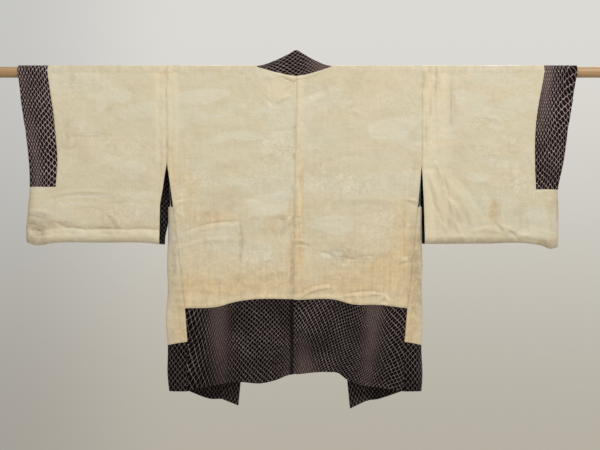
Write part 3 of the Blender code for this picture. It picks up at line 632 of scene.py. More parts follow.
def sleeveDrape(side, under=False):
    sign = sides[side]
    cell = cloth["shellCell" if under else "cell"]
    foot, sole, end = cloth["footRound"], cut["sleeveFoot"], cut["cuffEnd"][side]
    across = steps(0, 1, cell / cloth["sleeveWide"])
    # closer together at the cuff's edge
    fan = np.sin(np.linspace(0, pi / 2, int(cloth["cuffWide"] / cell) + 2))
    down = np.linspace(0, 1, cloth["footRows"] + 1)
    drape = Drape()

    def outAt(face, part, drop):
        facing = smooth(cut["cuffFacing"], "drop", side, drop)
        edge = smooth(cut["cuffEdge"], "drop", side, drop)
        if part:
            return facing + (edge - facing) * fan, edge
        inner = straight(cut["sleeve" + face], "drop", side, drop)
        return inner + (facing - inner) * across, edge

    def fullness(drop, out, edge):
        full = smooth(cut["sleeveFull"][side], "drop", "full", drop)
        near = 1 - np.clip((edge - out) / cloth["cuffRound"], 0, 1)
        shut = smooth(cut["cuffShut"], "drop", "shut", drop)
        return full * (1 - shut * (1 - np.sqrt(np.clip(1 - near**2, 0, 1))))

    def block(face, low, high, rows, offFoot=None):
        away = -1 if face == "Back" else 1
        share = rows[:, None]
        for part in (0, 1):
            drop = low + (high - low) * share
            out, edge = outAt(face, part, drop)
            bottom = smooth(cut["sleeveBottom"][side], "out", "drop", out)
            stretch = (bottom - foot - end) / (sole - end)
            real = np.where(drop > end, end + (drop - end) * stretch, drop + 0 * out)
            y = fullness(drop, out, edge)
            if offFoot is not None:
                turn = offFoot[:, None] * pi / 2
                real = real + foot * np.sin(turn)
                y = y * np.cos(turn)
            relief = clothRelief(face.lower(), sign * out, real, under) * np.clip(y / 4, 0, 1)
            x = sign * out
            points = np.stack((x, away * (y + relief), -real), axis=-1)
            path = -real if face == "Back" else overLength + real
            region = "cuff" if part == 1 and high <= end else "sleeve"
            flat = np.stack((x if region == "sleeve" else sign * (out - edge), path), axis=-1)
            drape.add(points, flat, region, (0, away, 0))

    for face in ("Back", "Front"):
        rows = cell * cloth[face.lower() + "Rows"]
        block(face, 0, end, steps(0, 1, rows / end))
        block(face, end, sole, steps(0, 1, rows / (sole - end)))
        block(face, sole, sole, 0 * down, down)
    turn, radius = steps(0, pi, cloth["rodTurn"])[:, None], cloth["hangRadius"]
    for part, region in enumerate(("sleeve", "cuff")):  # over the rod
        out, edge = outAt("Back", part, np.zeros((1, 1)))
        out = out + 0 * turn
        points = np.stack((sign * out, -radius * np.cos(turn) + 0 * out,
                           radius * np.sin(turn) + 0 * out), axis=-1)
        flat = np.stack((sign * (out - edge * part), radius * turn + 0 * out), axis=-1)
        drape.add(points, flat, region, (0, 0, 1))
    return drape.close()


def gussetDrape(side):
    sign = sides[side]
    turns = np.linspace(-1, 1, cloth["gussetRound"] + 1)  # from the back's edge to the front's
    drape = Drape()

    def block(region, low, high):
        share = steps(0, 1, cloth["cell"] / cloth["gussetLong"])[:, None]
        drop = low + (high - low) * share
        reach = smooth(cut["gussetReach"], "drop", side, drop) - 2 * cloth["wall"] - cloth["gussetRoom"]
        edge = np.where(turns < 0, straight(cut["backSide"], "drop", side, drop),
                        straight(cut["frontSide"], "drop", side, drop))
        wave = 1 + 0.05 * np.sin(drop / 21 + 2 * turns) * np.cos(turns * pi / 2)
        out = edge + (reach - edge) * np.cos(turns * pi / 2) * wave
        face = np.where(turns < 0, clothRelief("back", sign * edge, drop),
                        clothRelief("front", sign * edge, drop))
        away = (cloth["hangRadius"] - drop * cloth["taper"] + face) * np.sin(turns * pi / 2)
        points = np.stack((sign * out, away, -drop), axis=-1)
        around = np.cumsum(np.linalg.norm(np.diff(points, axis=1, prepend=points[:, :1]), axis=2), axis=1)
        flat = np.stack((sign * (around + 250), -drop), axis=-1)
        drape.add(points, flat, region, (sign, 0, 0))

    seam = smooth(cut["gussetFacing"], "turn", "drop", turns)
    block("gusset", cut["gussetTop"] + 0 * turns, seam)
    block("gussetHem", seam, cut["sideHem"] + 0 * turns)
    return drape.close()


def collarStations(side):  # seam, end of the flat beside it, and free edge, back neck to hem
    sign, centre, half = sides[side], cloth["centre"], cut["neckHalf"][side]
    stations, flat = [], cloth["collarFlat"]
    for out, rise, inward, edgeOut, edgeY, edgeZ in each(cut["backNeck"]):
        x = centre + sign * half * out
        seam, above = hang(x, rise), hang(x, rise + 1)
        way = np.array((-sign, 0, 0)) * inward + (above - seam) * (1 - inward)
        edge = np.array((centre + sign * half * edgeOut, edgeY, edgeZ))
        stations.append((seam, seam + flat * way / np.linalg.norm(way), edge))
    for angle in (112.5, 90, 67.5, 45, 22.5, 0):
        edgeOut, edgeY, edgeZ = (straight(cut["sideNeck"], "angle", name, angle)
                                 for name in ("edgeOut", "edgeY", "edgeZ"))
        seam = hang(sign * cut["collarSeam"][side][0], radians(180 - angle) * cloth["hangRadius"])
        edge = np.array((centre + sign * half * edgeOut, edgeY, edgeZ))
        stations.append((seam, seam + np.array((-sign * flat, 0, 0)), edge))
    hemOut = straight(cut["collarSeam"], "drop", side, cut["sideHem"] + 20)
    lastDrop = smooth(cut["frontHem"][side], "out", "drop", hemOut)
    for drop in (40, 110, 200, 300, 400, 520, 640, lastDrop):
        seamOut = straight(cut["collarSeam"], "drop", side, drop)
        edgeOut = seamOut - cut["collarWidth"]
        tip = smooth(cut["frontHem"][side], "out", "drop", edgeOut) - lastDrop if drop == lastDrop else 0
        seam = hang(sign * seamOut, overLength + drop)
        edge = hang(sign * edgeOut, overLength + drop + tip)
        edge[1] += 2 * (1 - min(drop / 200, 1))  # it stands off the front a little near the neck
        stations.append((seam, seam + np.array((-sign * flat, 0, 0)), edge))
    return stations


def collarDrape():
    stations = np.array(collarStations("left")[::-1] + collarStations("right")[1:])
    length = np.concatenate(((0,), np.cumsum(np.linalg.norm(np.diff(stations[:, 0], axis=0), axis=1))))
    at = np.unique(np.concatenate((steps(0, length[-1], cloth["cell"]), length)))
    rails = []
    for rail in range(3):
        track = {"at": length, **{axis: stations[:, rail, k] for k, axis in enumerate("xyz")}}
        rails.append(np.stack([smooth(track, "at", axis, at) for axis in "xyz"], axis=-1))
    seam, flat, edge = rails
    band = [seam] + [flat + (edge - flat) * share for share in np.linspace(0, 1, 13)]
    points = np.stack(band, axis=1)
    across = np.cumsum(np.linalg.norm(np.diff(points, axis=1, prepend=points[:, :1]), axis=2), axis=1)
    backRise = cut["backNeck"]["seamRise"][0]
    middle = np.argmin(np.abs(seam[:, 0] - cloth["centre"]) + np.abs(seam[:, 2] - backRise))
    along = at - at[middle]
    behind = np.clip(along, *(sides[side] * cut["neckHalf"][side] for side in sides))
    neck = np.stack([np.interp(behind, along, points[:, k, 0]) for k in range(points.shape[1])], axis=1)
    past = (along - behind)[:, None]
    level = ease(0, 170, np.abs(past))  # the net turns to run along the fronts
    neck = neck * (1 - level) + neck[:, :1] * level
    uv = np.stack((neck + past, across), axis=-1)
    drape = Drape()
    drape.add(points, uv, "collar", (0, 1, 0))
    return drape.close()


class Wire:  # a socket that can be used in sums
    def __init__(self, graph, socket):
        self.graph, self.socket = graph, socket

    def sum(self, operation, *values):
        return self.graph.node("ShaderNodeMath", {"operation": operation}, dict(enumerate(values)))

    def __add__(self, other):
        return self.sum("ADD", self, other)

    def __radd__(self, other):
        return self.sum("ADD", other, self)

    def __sub__(self, other):
        return self.sum("SUBTRACT", self, other)

    def __rsub__(self, other):
        return self.sum("SUBTRACT", other, self)

    def __mul__(self, other):
        return self.sum("MULTIPLY", self, other)

    def __rmul__(self, other):
        return self.sum("MULTIPLY", other, self)

    def __truediv__(self, other):
        return self.sum("DIVIDE", self, other)

    def __abs__(self):
        return self.sum("ABSOLUTE", self)

    def __pow__(self, other):
        return self.sum("POWER", self, other)

    def fraction(self):
        return self.sum("FRACT", self)

    def sine(self):
        return self.sum("SINE", self)

    def levelOff(self):  # from -1 to 1, in one smooth rise at 0
        return self.sum("TANH", self)

    def atLeast(self, other):
        return self.sum("MAXIMUM", self, other)

    def between(self, low, high, start=0.0, end=1.0):  # a smooth step from low to high
        return self.graph.node("ShaderNodeMapRange", {"interpolation_type": "SMOOTHSTEP"},
                               {0: self, 1: low, 2: high, 3: start, 4: end})


class Graph:  # a tree whose nodes are added by one method
    def __init__(self, tree):
        self.tree = tree

    def node(self, kind, settings=None, inputs=None, output=0):
        made = self.tree.nodes.new(kind)
        for name, value in (settings or {}).items():
            setattr(made, name, value)
        for socket, value in (inputs or {}).items():
            self.link(value, made.inputs[socket])
        if isinstance(output, tuple):  # several sockets of one node
            return [Wire(self, made.outputs[name]) for name in output]
        return Wire(self, made.outputs[output])

    def link(self, value, socket):
        if isinstance(value, Wire):
            self.tree.links.new(value.socket, socket)
        elif isinstance(value, tuple) and len(value) == 3 and socket.type == "RGBA":
            socket.default_value = (*value, 1)
        else:
            socket.default_value = value

    def mix(self, factor, first, second, blend="MIX"):
        return self.node("ShaderNodeMix", {"data_type": "RGBA", "blend_type": blend},
                         {0: factor, 6: first, 7: second}, output=2)

    def parts(self, vector):
        return self.node("ShaderNodeSeparateXYZ", {}, {0: vector}, output=(0, 1, 2))


class Finish(Graph):  # a material
    def __init__(self, name):
        self.material = bpy.data.materials.new(name)
        self.material.use_nodes = True
        super().__init__(self.material.node_tree)
        self.shader = self.tree.nodes["Principled BSDF"]

    def set(self, **values):
        for name, value in values.items():
            self.link(value, self.shader.inputs[name.replace("_", " ")])

    def flat(self, scale=(1, 1, 1), turn=0.0, shift=(0, 0, 0)):  # the cloth's own coordinates, in metres
        uv = self.node("ShaderNodeUVMap", {"uv_map": "cloth"})
        return self.node("ShaderNodeMapping", {}, {"Vector": uv, "Location": shift,
                                                    "Rotation": (0, 0, turn), "Scale": scale})

    def noise(self, where, scale, detail=2.0, rough=0.5):
        return self.node("ShaderNodeTexNoise", {}, {"Vector": where, "Scale": scale,
                                                     "Detail": detail, "Roughness": rough})

    def bump(self, height, distance, strength=1.0, onto=None):
        under = {"Normal": onto} if onto else {}
        return self.node("ShaderNodeBump", {}, {"Height": height, "Distance": distance,
                                                "Strength": strength, **under})


liningLook = {
    "ground": (0.592, 0.530, 0.388),
    "mist": (0.590, 0.558, 0.442),
    "blossom": (0.675, 0.635, 0.520),
    "aged": (0.590, 0.455, 0.268),
    "olive": (0.520, 0.458, 0.310),
    "blush": (0.635, 0.520, 0.380),
    # also the colour of painted highlights on lips, ridges and folds
    "pale": (0.700, 0.610, 0.432),
    "cool": (0.620, 0.592, 0.482),
    "stain": (0.505, 0.415, 0.275),
    # painted shade in creases, seams and folds, and soiling
    "soilAndShade": (0.335, 0.262, 0.180),
    "tints": {"blush": (0.50, 0.68, 0.36), "olive": (0.48, 0.66, 0.36),
              "stain": (0.52, 0.70, 0.38)},  # where each starts, where it is full, how strong
    "mistPitch": 4.4,        # to a metre, as the next two
    "cloudPitch": 15,
    "blossomPitch": 37,
    "petals": 5,
    "cloudStrength": 0.62,
    "weave": (4200, 3600),   # across and along, in radians a metre
    "roughness": (0.50, 0.62),
}


def liningMaterial():
    silk = Finish("lining silk")
    look = liningLook
    where = silk.flat()
    drift = silk.noise(silk.flat(scale=(1, 2.9, 1), shift=(0.31, 0.17, 0)), look["mistPitch"], detail=1.5,
                       rough=0.4)
    lobes = silk.node("ShaderNodeTexVoronoi", {"feature": "SMOOTH_F1"},
                      {"Vector": silk.flat(scale=(1, 2.1, 1)), "Scale": look["cloudPitch"],
                       "Smoothness": 0.35, "Randomness": 0.7})
    body = drift + (0.5 - lobes) * 0.07
    mist = body.between(0.545, 0.585)
    rim = body.between(0.535, 0.552) * (1 - body.between(0.552, 0.575))
    tail = silk.noise(silk.flat(scale=(1, 7.5, 1), shift=(0.9, 0.4, 0)), 7, detail=1)
    streak = tail.between(0.58, 0.66) * body.between(0.47, 0.54)
    reach, middle = silk.node("ShaderNodeTexVoronoi", {},
                              {"Vector": where, "Scale": look["blossomPitch"], "Randomness": 0.75},
                              output=("Distance", "Position"))
    away = silk.node("ShaderNodeVectorMath", {"operation": "SUBTRACT"}, {0: where, 1: middle})
    dx, dy, _ = silk.parts(away)
    angle = dx.sum("ARCTAN2", dy, dx)
    petals = 0.30 + abs((angle * (look["petals"] / 2)).sine()) * 0.14
    bloom = (petals - reach).between(-0.02, 0.04)
    heart = (0.10 - reach).between(-0.02, 0.02)
    veins = (angle * look["petals"]).sine().between(0.2, 0.9) * bloom
    age, pale, soilAndShade, chill, border, flowers = (
        silk.node("ShaderNodeAttribute", {"attribute_name": name}, output=2)
        for name in ("age", "pale", "soilAndShade", "cool", "border", "bloom"))
    here = silk.noise(silk.flat(scale=(1, 1.5, 1), shift=(0.7, 0.2, 0)), 8.5, detail=1)
    clusters = (here.between(0.48, 0.58) * 0.4 + flowers * 1.1).between(0.1, 0.9)
    curls = silk.noise(where, 66, detail=2.0, rough=0.55)
    curl = (0.030 - abs(curls - 0.5)).between(-0.008, 0.012)
    blossom = (bloom - heart - veins * 0.4).atLeast(0) * clusters
    outline = (0.07 - abs(petals - reach)).between(0, 0.05) * clusters
    cloud = (chill + (0.41 - lobes) * 0.85 + (drift - 0.5) * 0.8).between(0.36, 0.56) * (1 - age * 0.4)
    blotch = silk.noise(where, 7.5, detail=3, rough=0.6)
    olive = silk.noise(silk.flat(scale=(1, 1.3, 1), shift=(0.8, 0.1, 0)), 15, detail=5, rough=0.68)
    stain = silk.noise(silk.flat(scale=(1.3, 0.8, 1), shift=(0.5, 0.9, 0)), 11, detail=5, rough=0.66)
    mottle = silk.noise(silk.flat(scale=(1, 0.75, 1)), 75, detail=4, rough=0.72)
    slub = silk.noise(silk.flat(scale=(0.08, 1, 1)), 420, detail=2)
    warp = silk.noise(silk.flat(scale=(1, 0.07, 1)), 150, detail=3, rough=0.6)
    weft = silk.noise(silk.flat(scale=(0.12, 1, 1)), 95, detail=3, rough=0.6)
    tone = silk.mix((mist * 0.7 + streak * 0.6 - rim * 0.2).atLeast(0), look["ground"], look["mist"])
    aged = age * (olive * 1.5 + blotch * 0.8 - 0.15)
    tone = silk.mix(aged.between(0.06, 1.0, 0, 0.90), tone, look["aged"])
    for name, patch in (("blush", blotch), ("olive", olive), ("stain", stain)):
        low, high, strength = look["tints"][name]
        tone = silk.mix(patch.between(low, high, 0, strength), tone, look[name])
    tone = silk.mix(cloud * look["cloudStrength"], tone, look["cool"])
    fresh = 1 - age * 0.45
    tone = silk.mix((blossom * 0.40 + curl * (clusters * 0.50 + 0.08)) * fresh, tone, look["blossom"])
    tone = silk.mix(outline * 0.18, tone, look["stain"])
    # paler silk over seam allowances, and painted highlights along the lining's lips and on ridges and
    # folds
    tone = silk.mix(pale * (0.35 + blotch * 0.5), tone, look["pale"])
    # painted shade along the lining's seams near each piece's edge, less where it is pale, in the
    # soil-and-shade colour
    seam = border.between(0.0002, 0.0022, 1, 0) * blotch.between(0.38, 0.62, 0, 0.26) * (1 - pale * 0.85)
    tone = silk.mix((soilAndShade * mottle.between(0.30, 0.62, 0.12, 0.55)).atLeast(seam), tone, look["soilAndShade"])
    worn = (1 - cloud * 0.5) * (age * 2.1 + 0.40)
    uneven = (mottle - 0.5) * 0.24 + (warp - 0.5) * 0.17 + (weft - 0.5) * 0.10
    shade = 1.0 - uneven * worn - slub * 0.03 + 0.015
    shadeColour = silk.node("ShaderNodeCombineColor", {}, {0: shade, 1: shade, 2: shade * 0.995})
    tone = silk.mix(1.0, tone, shadeColour, blend="MULTIPLY")
    smoothest, roughest = look["roughness"]
    silk.set(Base_Color=tone, Roughness=mist.between(0, 1, roughest, smoothest),
             Sheen_Weight=0.06, Sheen_Roughness=0.45, Specular_IOR_Level=0.28)
    u, v, _ = silk.parts(where)
    weave = (u * look["weave"][0]).sine() * 0.5 + (v * look["weave"][1]).sine() * 0.5
    crumple = silk.noise(silk.flat(scale=(1, 1.1, 1)), 19, detail=5, rough=0.6)
    raised = (mist * 0.3 + cloud * 0.3 + blossom * 0.3 + curl * 0.3 + weave * 0.05 + slub * 0.25
              + weft * 0.6)
    normal = silk.bump(crumple, 0.0085, 0.55)
    normal = silk.bump(raised, 0.0004, 0.6, onto=normal)
    normal = silk.bump(border.between(0, 0.004), 0.0008, 0.6, onto=normal)
    silk.set(Normal=normal)
    return silk.material


netLook = {
    "ground": (0.0050, 0.0026, 0.0025),
    "haze": (0.052, 0.034, 0.032),   # where the cells close up
    "line": (0.55, 0.440, 0.430),
    "drift": 1.4,                    # how far the cells wander, in cells
    "shiver": 0.24,
    "tall": 0.16,                    # a gather changes over this height
}


# A tied-and-dyed net: two families of pale lines that close up wherever the silk was gathered.
# Glow is where its lines are brighter: across, up, reach and gain. Fold is a line of painted shade down a
# fold, where lines and haze are dimmed: across, half width.
def netMaterial(name, wide, tall, level, gathers, pinch, lineTone, lineHalf, haze, seed, dark=1.0,
                glow=(0, 0, 1, 0), fold=(9, 1)):
    silk = Finish(name)
    where = silk.flat(shift=(0, -level, 0))
    u, v, _ = silk.parts(where)
    apart = silk.flat(shift=(seed, seed * 0.7, 0))
    apartToo = silk.flat(shift=(seed + 3.1, 1.7, 0))
    drift, driftToo = (silk.noise(place, 8, detail=1) - 0.5 for place in (apart, apartToo))
    shiver, shiverToo = (silk.noise(place, 140, detail=2) - 0.5 for place in (apart, apartToo))
    across = u / wide + drift * netLook["drift"] + shiver * netLook["shiver"]
    upward = v / tall + driftToo * netLook["drift"] + shiverToo * netLook["shiver"]
    dense, high = 0, (v / netLook["tall"]).levelOff() * 1.6
    for at, lean, width, close, closeUp, sway, swayUp in each(gathers):
        rise = ((u + v * lean - at) / width).levelOff()
        closing = high * closeUp + close
        across = across + closing * (rise + 1) * (width / wide)
        upward = upward + (high * swayUp + sway) * (rise + 1) * (width / tall)
        dense = closing.atLeast(0) * (1 - rise * rise) + dense
    rising, falling = across + upward, across - upward
    lines = []
    for family, other in ((rising, falling), (falling, rising)):
        bent = family - (other * (2 * pi)).sine() * pinch
        lines.append(abs(bent.fraction() - 0.5).between(0.5 - lineHalf * 1.6, 0.5 - lineHalf * 0.4))
    knots = lines[0] * lines[1]
    ink = silk.noise(apart, 260, detail=2).between(0.32, 0.64, 0.35, 1.15)
    swell = silk.noise(apart, 13, detail=2)
    line = lines[0].atLeast(lines[1]) * ink * swell.between(0.3, 0.7, 0.65, 1.2)
    spot, up, reach, gain = glow
    near = ((u - spot) / reach) ** 2 + ((v - up) / reach) ** 2
    # painted shade along the fold
    at, half = fold
    lit = abs(u - at).between(half * 0.3, half, 0.25, 1)
    line, dense = line * (near.between(0, 1, gain, 0) + 1) * lit, lit * dense
    ground = silk.mix(swell.between(0.3, 0.8), *(tuple(c * dark * much for c in netLook["ground"])
                                                 for much in (1, 1.6)))
    ground = silk.mix(dense.between(0.1, 1.4, 0, 0.9), ground, tuple(c * haze for c in netLook["haze"]))
    tone = silk.mix((line * 0.8 + knots * 0.6) * lineTone, ground, netLook["line"])
    silk.set(Base_Color=tone, Roughness=0.85, Specular_IOR_Level=0.05)
    crepe = silk.noise(where, 900, detail=2)
    silk.set(Normal=silk.bump(line * -0.6 + crepe * 0.35, 0.0007, 0.7))
    return silk.material


def gathered(*rows):  # where the cells close up or spread: metres across, and a change a decimetre up
    return table("at lean width close closeUp sway swayUp", *rows)


nets = {  # lengths in metres
    # hemLeft's fold is painted shade in the fold just left of the centre seam
    "hemLeft": dict(
        wide=0.0100, tall=0.0117, level=-0.62, pinch=0.035, lineTone=0.50, lineHalf=0.045, haze=1.05,
        seed=0.3, dark=0.5, glow=(-0.085, 0.02, 0.075, 0.7), fold=(-0.0135, 0.006),
        gathers=gathered((-0.177, 0.04, -0.024, 1.05, 0.5, 0.10, 0.9),
                         (-0.252, 0, -0.018, -0.35, 0, 0.1, 0.3),
                         (-0.018, -0.05, 0.018, 0.45, -0.3, -0.35, 0),
                         (-0.100, 0.2, 0.05, -0.05, -0.1, -0.25, 0.2))),
    "hemRight": dict(
        wide=0.0096, tall=0.0115, level=-0.62, pinch=0.035, lineTone=0.61, lineHalf=0.045, haze=1.0,
        seed=1.3, dark=0.5, glow=(0.05, 0.06, 0.06, 0.30),
        gathers=gathered((0.166, -0.10, 0.020, 1.05, 0.5, 0.10, -1.0),
                         (0.010, 0.10, 0.024, 0.65, -1.15, -0.15, 0.2),
                         (0.096, -0.45, 0.034, 0.0, 0, 0.35, 0.6), (0.222, 0, 0.020, -0.30, 0, 0, -0.5))),
    "frontLeft": dict(
        wide=0.0098, tall=0.0112, level=0.70, pinch=0.035, lineTone=0.52, lineHalf=0.054, haze=0.85,
        seed=2.6, dark=0.6, glow=(-0.2, 0, 0.06, 0.4),
        gathers=gathered((-0.215, 0.1, 0.018, 1.3, 0.6, 0.1, 0.4),
                         (-0.150, -0.1, 0.02, -0.3, 0, 0.2, 0))),
    "frontRight": dict(
        wide=0.0098, tall=0.0112, level=0.70, pinch=0.035, lineTone=0.52, lineHalf=0.054, haze=0.85,
        seed=3.2, dark=0.6, glow=(0.2, 0, 0.06, 0.4),
        gathers=gathered((0.190, 0.1, 0.02, 1.2, -0.5, -0.1, 0.4), (0.235, 0, 0.02, -0.3, 0, 0.2, 0))),
    "cuffLeft": dict(
        wide=0.0092, tall=0.0145, level=-0.13, pinch=0.06, lineTone=1.08, lineHalf=0.064, haze=1.8,
        seed=2.1, dark=1.7,
        gathers=gathered((0.013, 0.03, 0.012, 0.50, -0.2, 0, 0),
                         (0.052, 0, 0.016, -0.24, 0.18, 0.1, 0.3))),
    "cuffRight": dict(
        wide=0.0095, tall=0.0155, level=-0.13, pinch=0.07, lineTone=0.88, lineHalf=0.056, haze=1.5,
        seed=3.7, dark=1.4,
        gathers=gathered((-0.062, 0.05, 0.014, 0.55, 0.80, 0.1, 0),
                         (-0.022, -0.1, 0.013, -0.26, -0.26, 0, 0.6))),
    "gusset": dict(
        wide=0.0115, tall=0.0142, level=-0.67, pinch=0.04, lineTone=0.46, lineHalf=0.046, haze=0.6,
        seed=4.4, dark=0.55,
        gathers=gathered((0.292, 0, 0.010, 0.9, 0, 0.2, 0), (-0.300, 0, -0.012, 0.4, 0, 0, 0))),
    "collar": dict(
        wide=0.0143, tall=0.0086, level=0.02, pinch=-0.02, lineTone=0.42, lineHalf=0.053, haze=1.6,
        seed=5.2, dark=0.9, glow=(0, 0, 0.30, 1.15),
        gathers=gathered((0.055, 0.2, 0.034, 1.1, 0, 0.2, 0), (-0.045, 0, 0.045, 0, 0, -0.45, 0),
                         (0.40, 0, 0.06, 0.5, 0, 0.05, 0), (-0.42, 0, 0.07, 0.5, 0, -0.05, 0))),
    # the shell's lines are dimmer, partly painted shade for where it shows in shadow below the back hem and
    # in the slits
    "shell": dict(
        wide=0.0095, tall=0.0118, level=-0.30, pinch=0.035, lineTone=0.36, lineHalf=0.050, haze=0.75,
        seed=6.6, dark=0.8,
        gathers=gathered((0.16, 0.05, 0.03, 1.2, 0, 0.2, 0.2), (-0.19, -0.05, 0.03, 1.2, 0, -0.2, 0.2),
                         (0.45, 0.05, 0.04, 0.8, 0, 0.3, 0), (-0.47, 0.1, 0.04, 0.8, 0, 0.3, 0))),
}

woodLook = {
    "light": (0.45, 0.290, 0.158), "dark": (0.28, 0.160, 0.072),
    "growth": 95,                       # growth rings to a metre
    "paintedLeftShade": (-0.66, -0.60, 0.30),    # painted shade, darker towards its left end: from, to and how much
    "roughness": 0.40,
}


def woodMaterial():
    wood = Finish("rod wood")
    where = wood.node("ShaderNodeTexCoord", output=3)
    long = wood.node("ShaderNodeMapping", {}, {"Vector": where, "Scale": (0.55, 9, 9)})
    waver = wood.noise(long, 2.2, detail=3)
    x, y, z = wood.parts(where)
    rings = ((y * 1.0 + z * 0.55 + waver * 0.010) * (2 * pi * woodLook["growth"])).sine()
    pores = wood.noise(wood.node("ShaderNodeMapping", {}, {"Vector": where, "Scale": (6, 320, 320)}),
                       3.0, detail=3)
    grain = rings.between(-0.2, 1.0) * 0.35 + pores.between(0.45, 0.75) * 0.35 + waver * 0.3
    outer, inner, darker = woodLook["paintedLeftShade"]
    # painted shade on the rod's left end
    paintedLeftShade = x.between(outer, inner, darker, 0)
    tone = wood.mix(grain.atLeast(0) * 0.7 + paintedLeftShade, woodLook["light"], woodLook["dark"])
    wood.set(Base_Color=tone, Roughness=woodLook["roughness"] + pores * 0.15, Specular_IOR_Level=0.4)
    wood.set(Normal=wood.bump(pores * 0.5 + grain * 0.5, 0.0006, 0.35))
    return wood.material


def threadMaterial(name, colour):
    thread = Finish(name)
    where = thread.node("ShaderNodeTexCoord", output=3)
    twist = thread.node("ShaderNodeTexWave", {"bands_direction": "DIAGONAL"},
                        {"Vector": where, "Scale": 900, "Distortion": 1.0}, output=1)
    thread.set(Base_Color=thread.mix(twist, tuple(c * 0.8 for c in colour), colour), Roughness=0.6,
               Normal=thread.bump(twist, 0.0002, 0.5))
    return thread.material


lining = liningMaterial()
net = {name: netMaterial(f"net {name}", **look) for name, look in nets.items()}
wood = woodMaterial()
thread = threadMaterial("cream thread", (0.70, 0.62, 0.45))
cord = threadMaterial("dark cord", (0.035, 0.026, 0.030))
print("finishes made")


def settle(piece, slot, *nodes):
    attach(piece, "root")
    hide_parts(*nodes)


stitchLook = {"pitch": 8.0, "long": 2.8, "thick": 0.6, "unevenness": 0.3,
              "inset": 2.2,   # from the seam
              "proud": 0.25,  # of the lining's face
              "step": 6,      # between the points of a seam's line
              # where the rows of stitches start and end
              "centre": (30, 508), "hem": (8, 248), "back": (216, 530), "front": (216, 540)}


def onCloth(drape, face, out, drop):  # the places on the lining's outer side nearest to these
    away = -1 if face == "back" else 1
    shown = drape.point[:, 1] * away > 0
    point, normal = drape.point[shown], drape.normal[shown]
    gap = (point[:, None, 0] - out[None, :])**2 + (point[:, None, 2] + drop[None, :])**2
    near = gap.argmin(axis=0)
    lift = cloth["liningLift"] + cloth["wall"] + stitchLook["proud"]
    return np.stack((out, point[near, 1] + normal[near, 1] * lift, -drop), axis=-1)


def bodySeams(side, drape):
    sign, inset, step = sides[side], stitchLook["inset"], stitchLook["step"]
    found = []
    if side == "right":
        drop = steps(*stitchLook["centre"], step)
        seam = straight(cut["centreSeam"], "drop", "x", drop)
        found.append(onCloth(drape, "back", seam + inset, drop))
    out = steps(*stitchLook["hem"], step)
    hem = smooth(cut["backFacing"][side], "out", "drop", out)
    found.append(onCloth(drape, "back", sign * out, hem - inset))
    for face in ("back", "front"):
        drop = steps(*stitchLook[face], step)
        edge = straight(cut[face + "Side"], "drop", side, drop)
        found.append(onCloth(drape, face, sign * (edge - inset), drop))
    return found


def sleeveSeams(side, drape):
    sign, inset, step = sides[side], stitchLook["inset"], stitchLook["step"]
    found = []
    for face in ("back", "front"):
        drop = steps(8, cut["cuffEnd"][side] - 4, step)
        cuff = smooth(cut["cuffFacing"], "drop", side, drop)
        found.append(onCloth(drape, face, sign * (cuff - inset), drop))
        drop = steps(8, cut["armhole"] - 2, step)
        inner = straight(cut["sleeve" + face.title()], "drop", side, drop)
        found.append(onCloth(drape, face, sign * (inner + inset), drop))
    return found


def stitchTree(material):
    tree = bpy.data.node_groups.new("hand stitches", "GeometryNodeTree")
    tree.interface.new_socket("Seams", in_out="INPUT", socket_type="NodeSocketGeometry")
    for name in ("Pitch", "Length", "Thickness", "Unevenness"):
        tree.interface.new_socket(name, in_out="INPUT", socket_type="NodeSocketFloat")
    tree.interface.new_socket("Stitches", in_out="OUTPUT", socket_type="NodeSocketGeometry")
    graph = Graph(tree)
    given = tree.nodes.new("NodeGroupInput")
    lines, pitch, long, thick, uneven = (Wire(graph, socket) for socket in given.outputs[:5])
    lines = graph.node("GeometryNodeMeshToCurve", {}, {"Mesh": lines})
    spaced = graph.node("GeometryNodeResampleCurve", {"mode": "LENGTH"}, {"Curve": lines, "Length": pitch})
    bead = graph.node("GeometryNodeMeshUVSphere", {}, {"Segments": 6, "Rings": 4, "Radius": 0.5})
    chance = graph.node("FunctionNodeRandomValue", {"data_type": "FLOAT"},
                        {2: uneven * -1 + 1, 3: uneven + 1, "Seed": 11}, output=1)
    slant = graph.node("FunctionNodeRandomValue", {"data_type": "FLOAT_VECTOR"},
                       {0: (-0.25, -0.1, -0.25), 1: (0.25, 0.1, 0.25), "Seed": 5})
    way = graph.node("ShaderNodeVectorMath", {"operation": "ADD"},
                     {0: graph.node("GeometryNodeInputTangent"), 1: slant})
    turn = graph.node("FunctionNodeAlignRotationToVector", {"axis": "X"}, {"Vector": way})
    size = graph.node("ShaderNodeCombineXYZ", {}, {0: long * chance, 1: thick, 2: thick})
    placed = graph.node("GeometryNodeInstanceOnPoints", {},
                        {"Points": spaced, "Instance": bead, "Rotation": turn, "Scale": size})
    real = graph.node("GeometryNodeRealizeInstances", {}, {"Geometry": placed})
    soft = graph.node("GeometryNodeSetShadeSmooth", {}, {0: real})
    done = graph.node("GeometryNodeSetMaterial", {}, {"Geometry": soft, "Material": material})
    graph.link(done, tree.nodes.new("NodeGroupOutput").inputs[0])
    return tree


def plainMesh(item, name):  # an object as it is evaluated, made a plain mesh object
    data = bpy.data.meshes.new_from_object(item.evaluated_get(bpy.context.evaluated_depsgraph_get()))
    data.name = name
    bpy.data.objects.remove(item)
    return place(name, data)


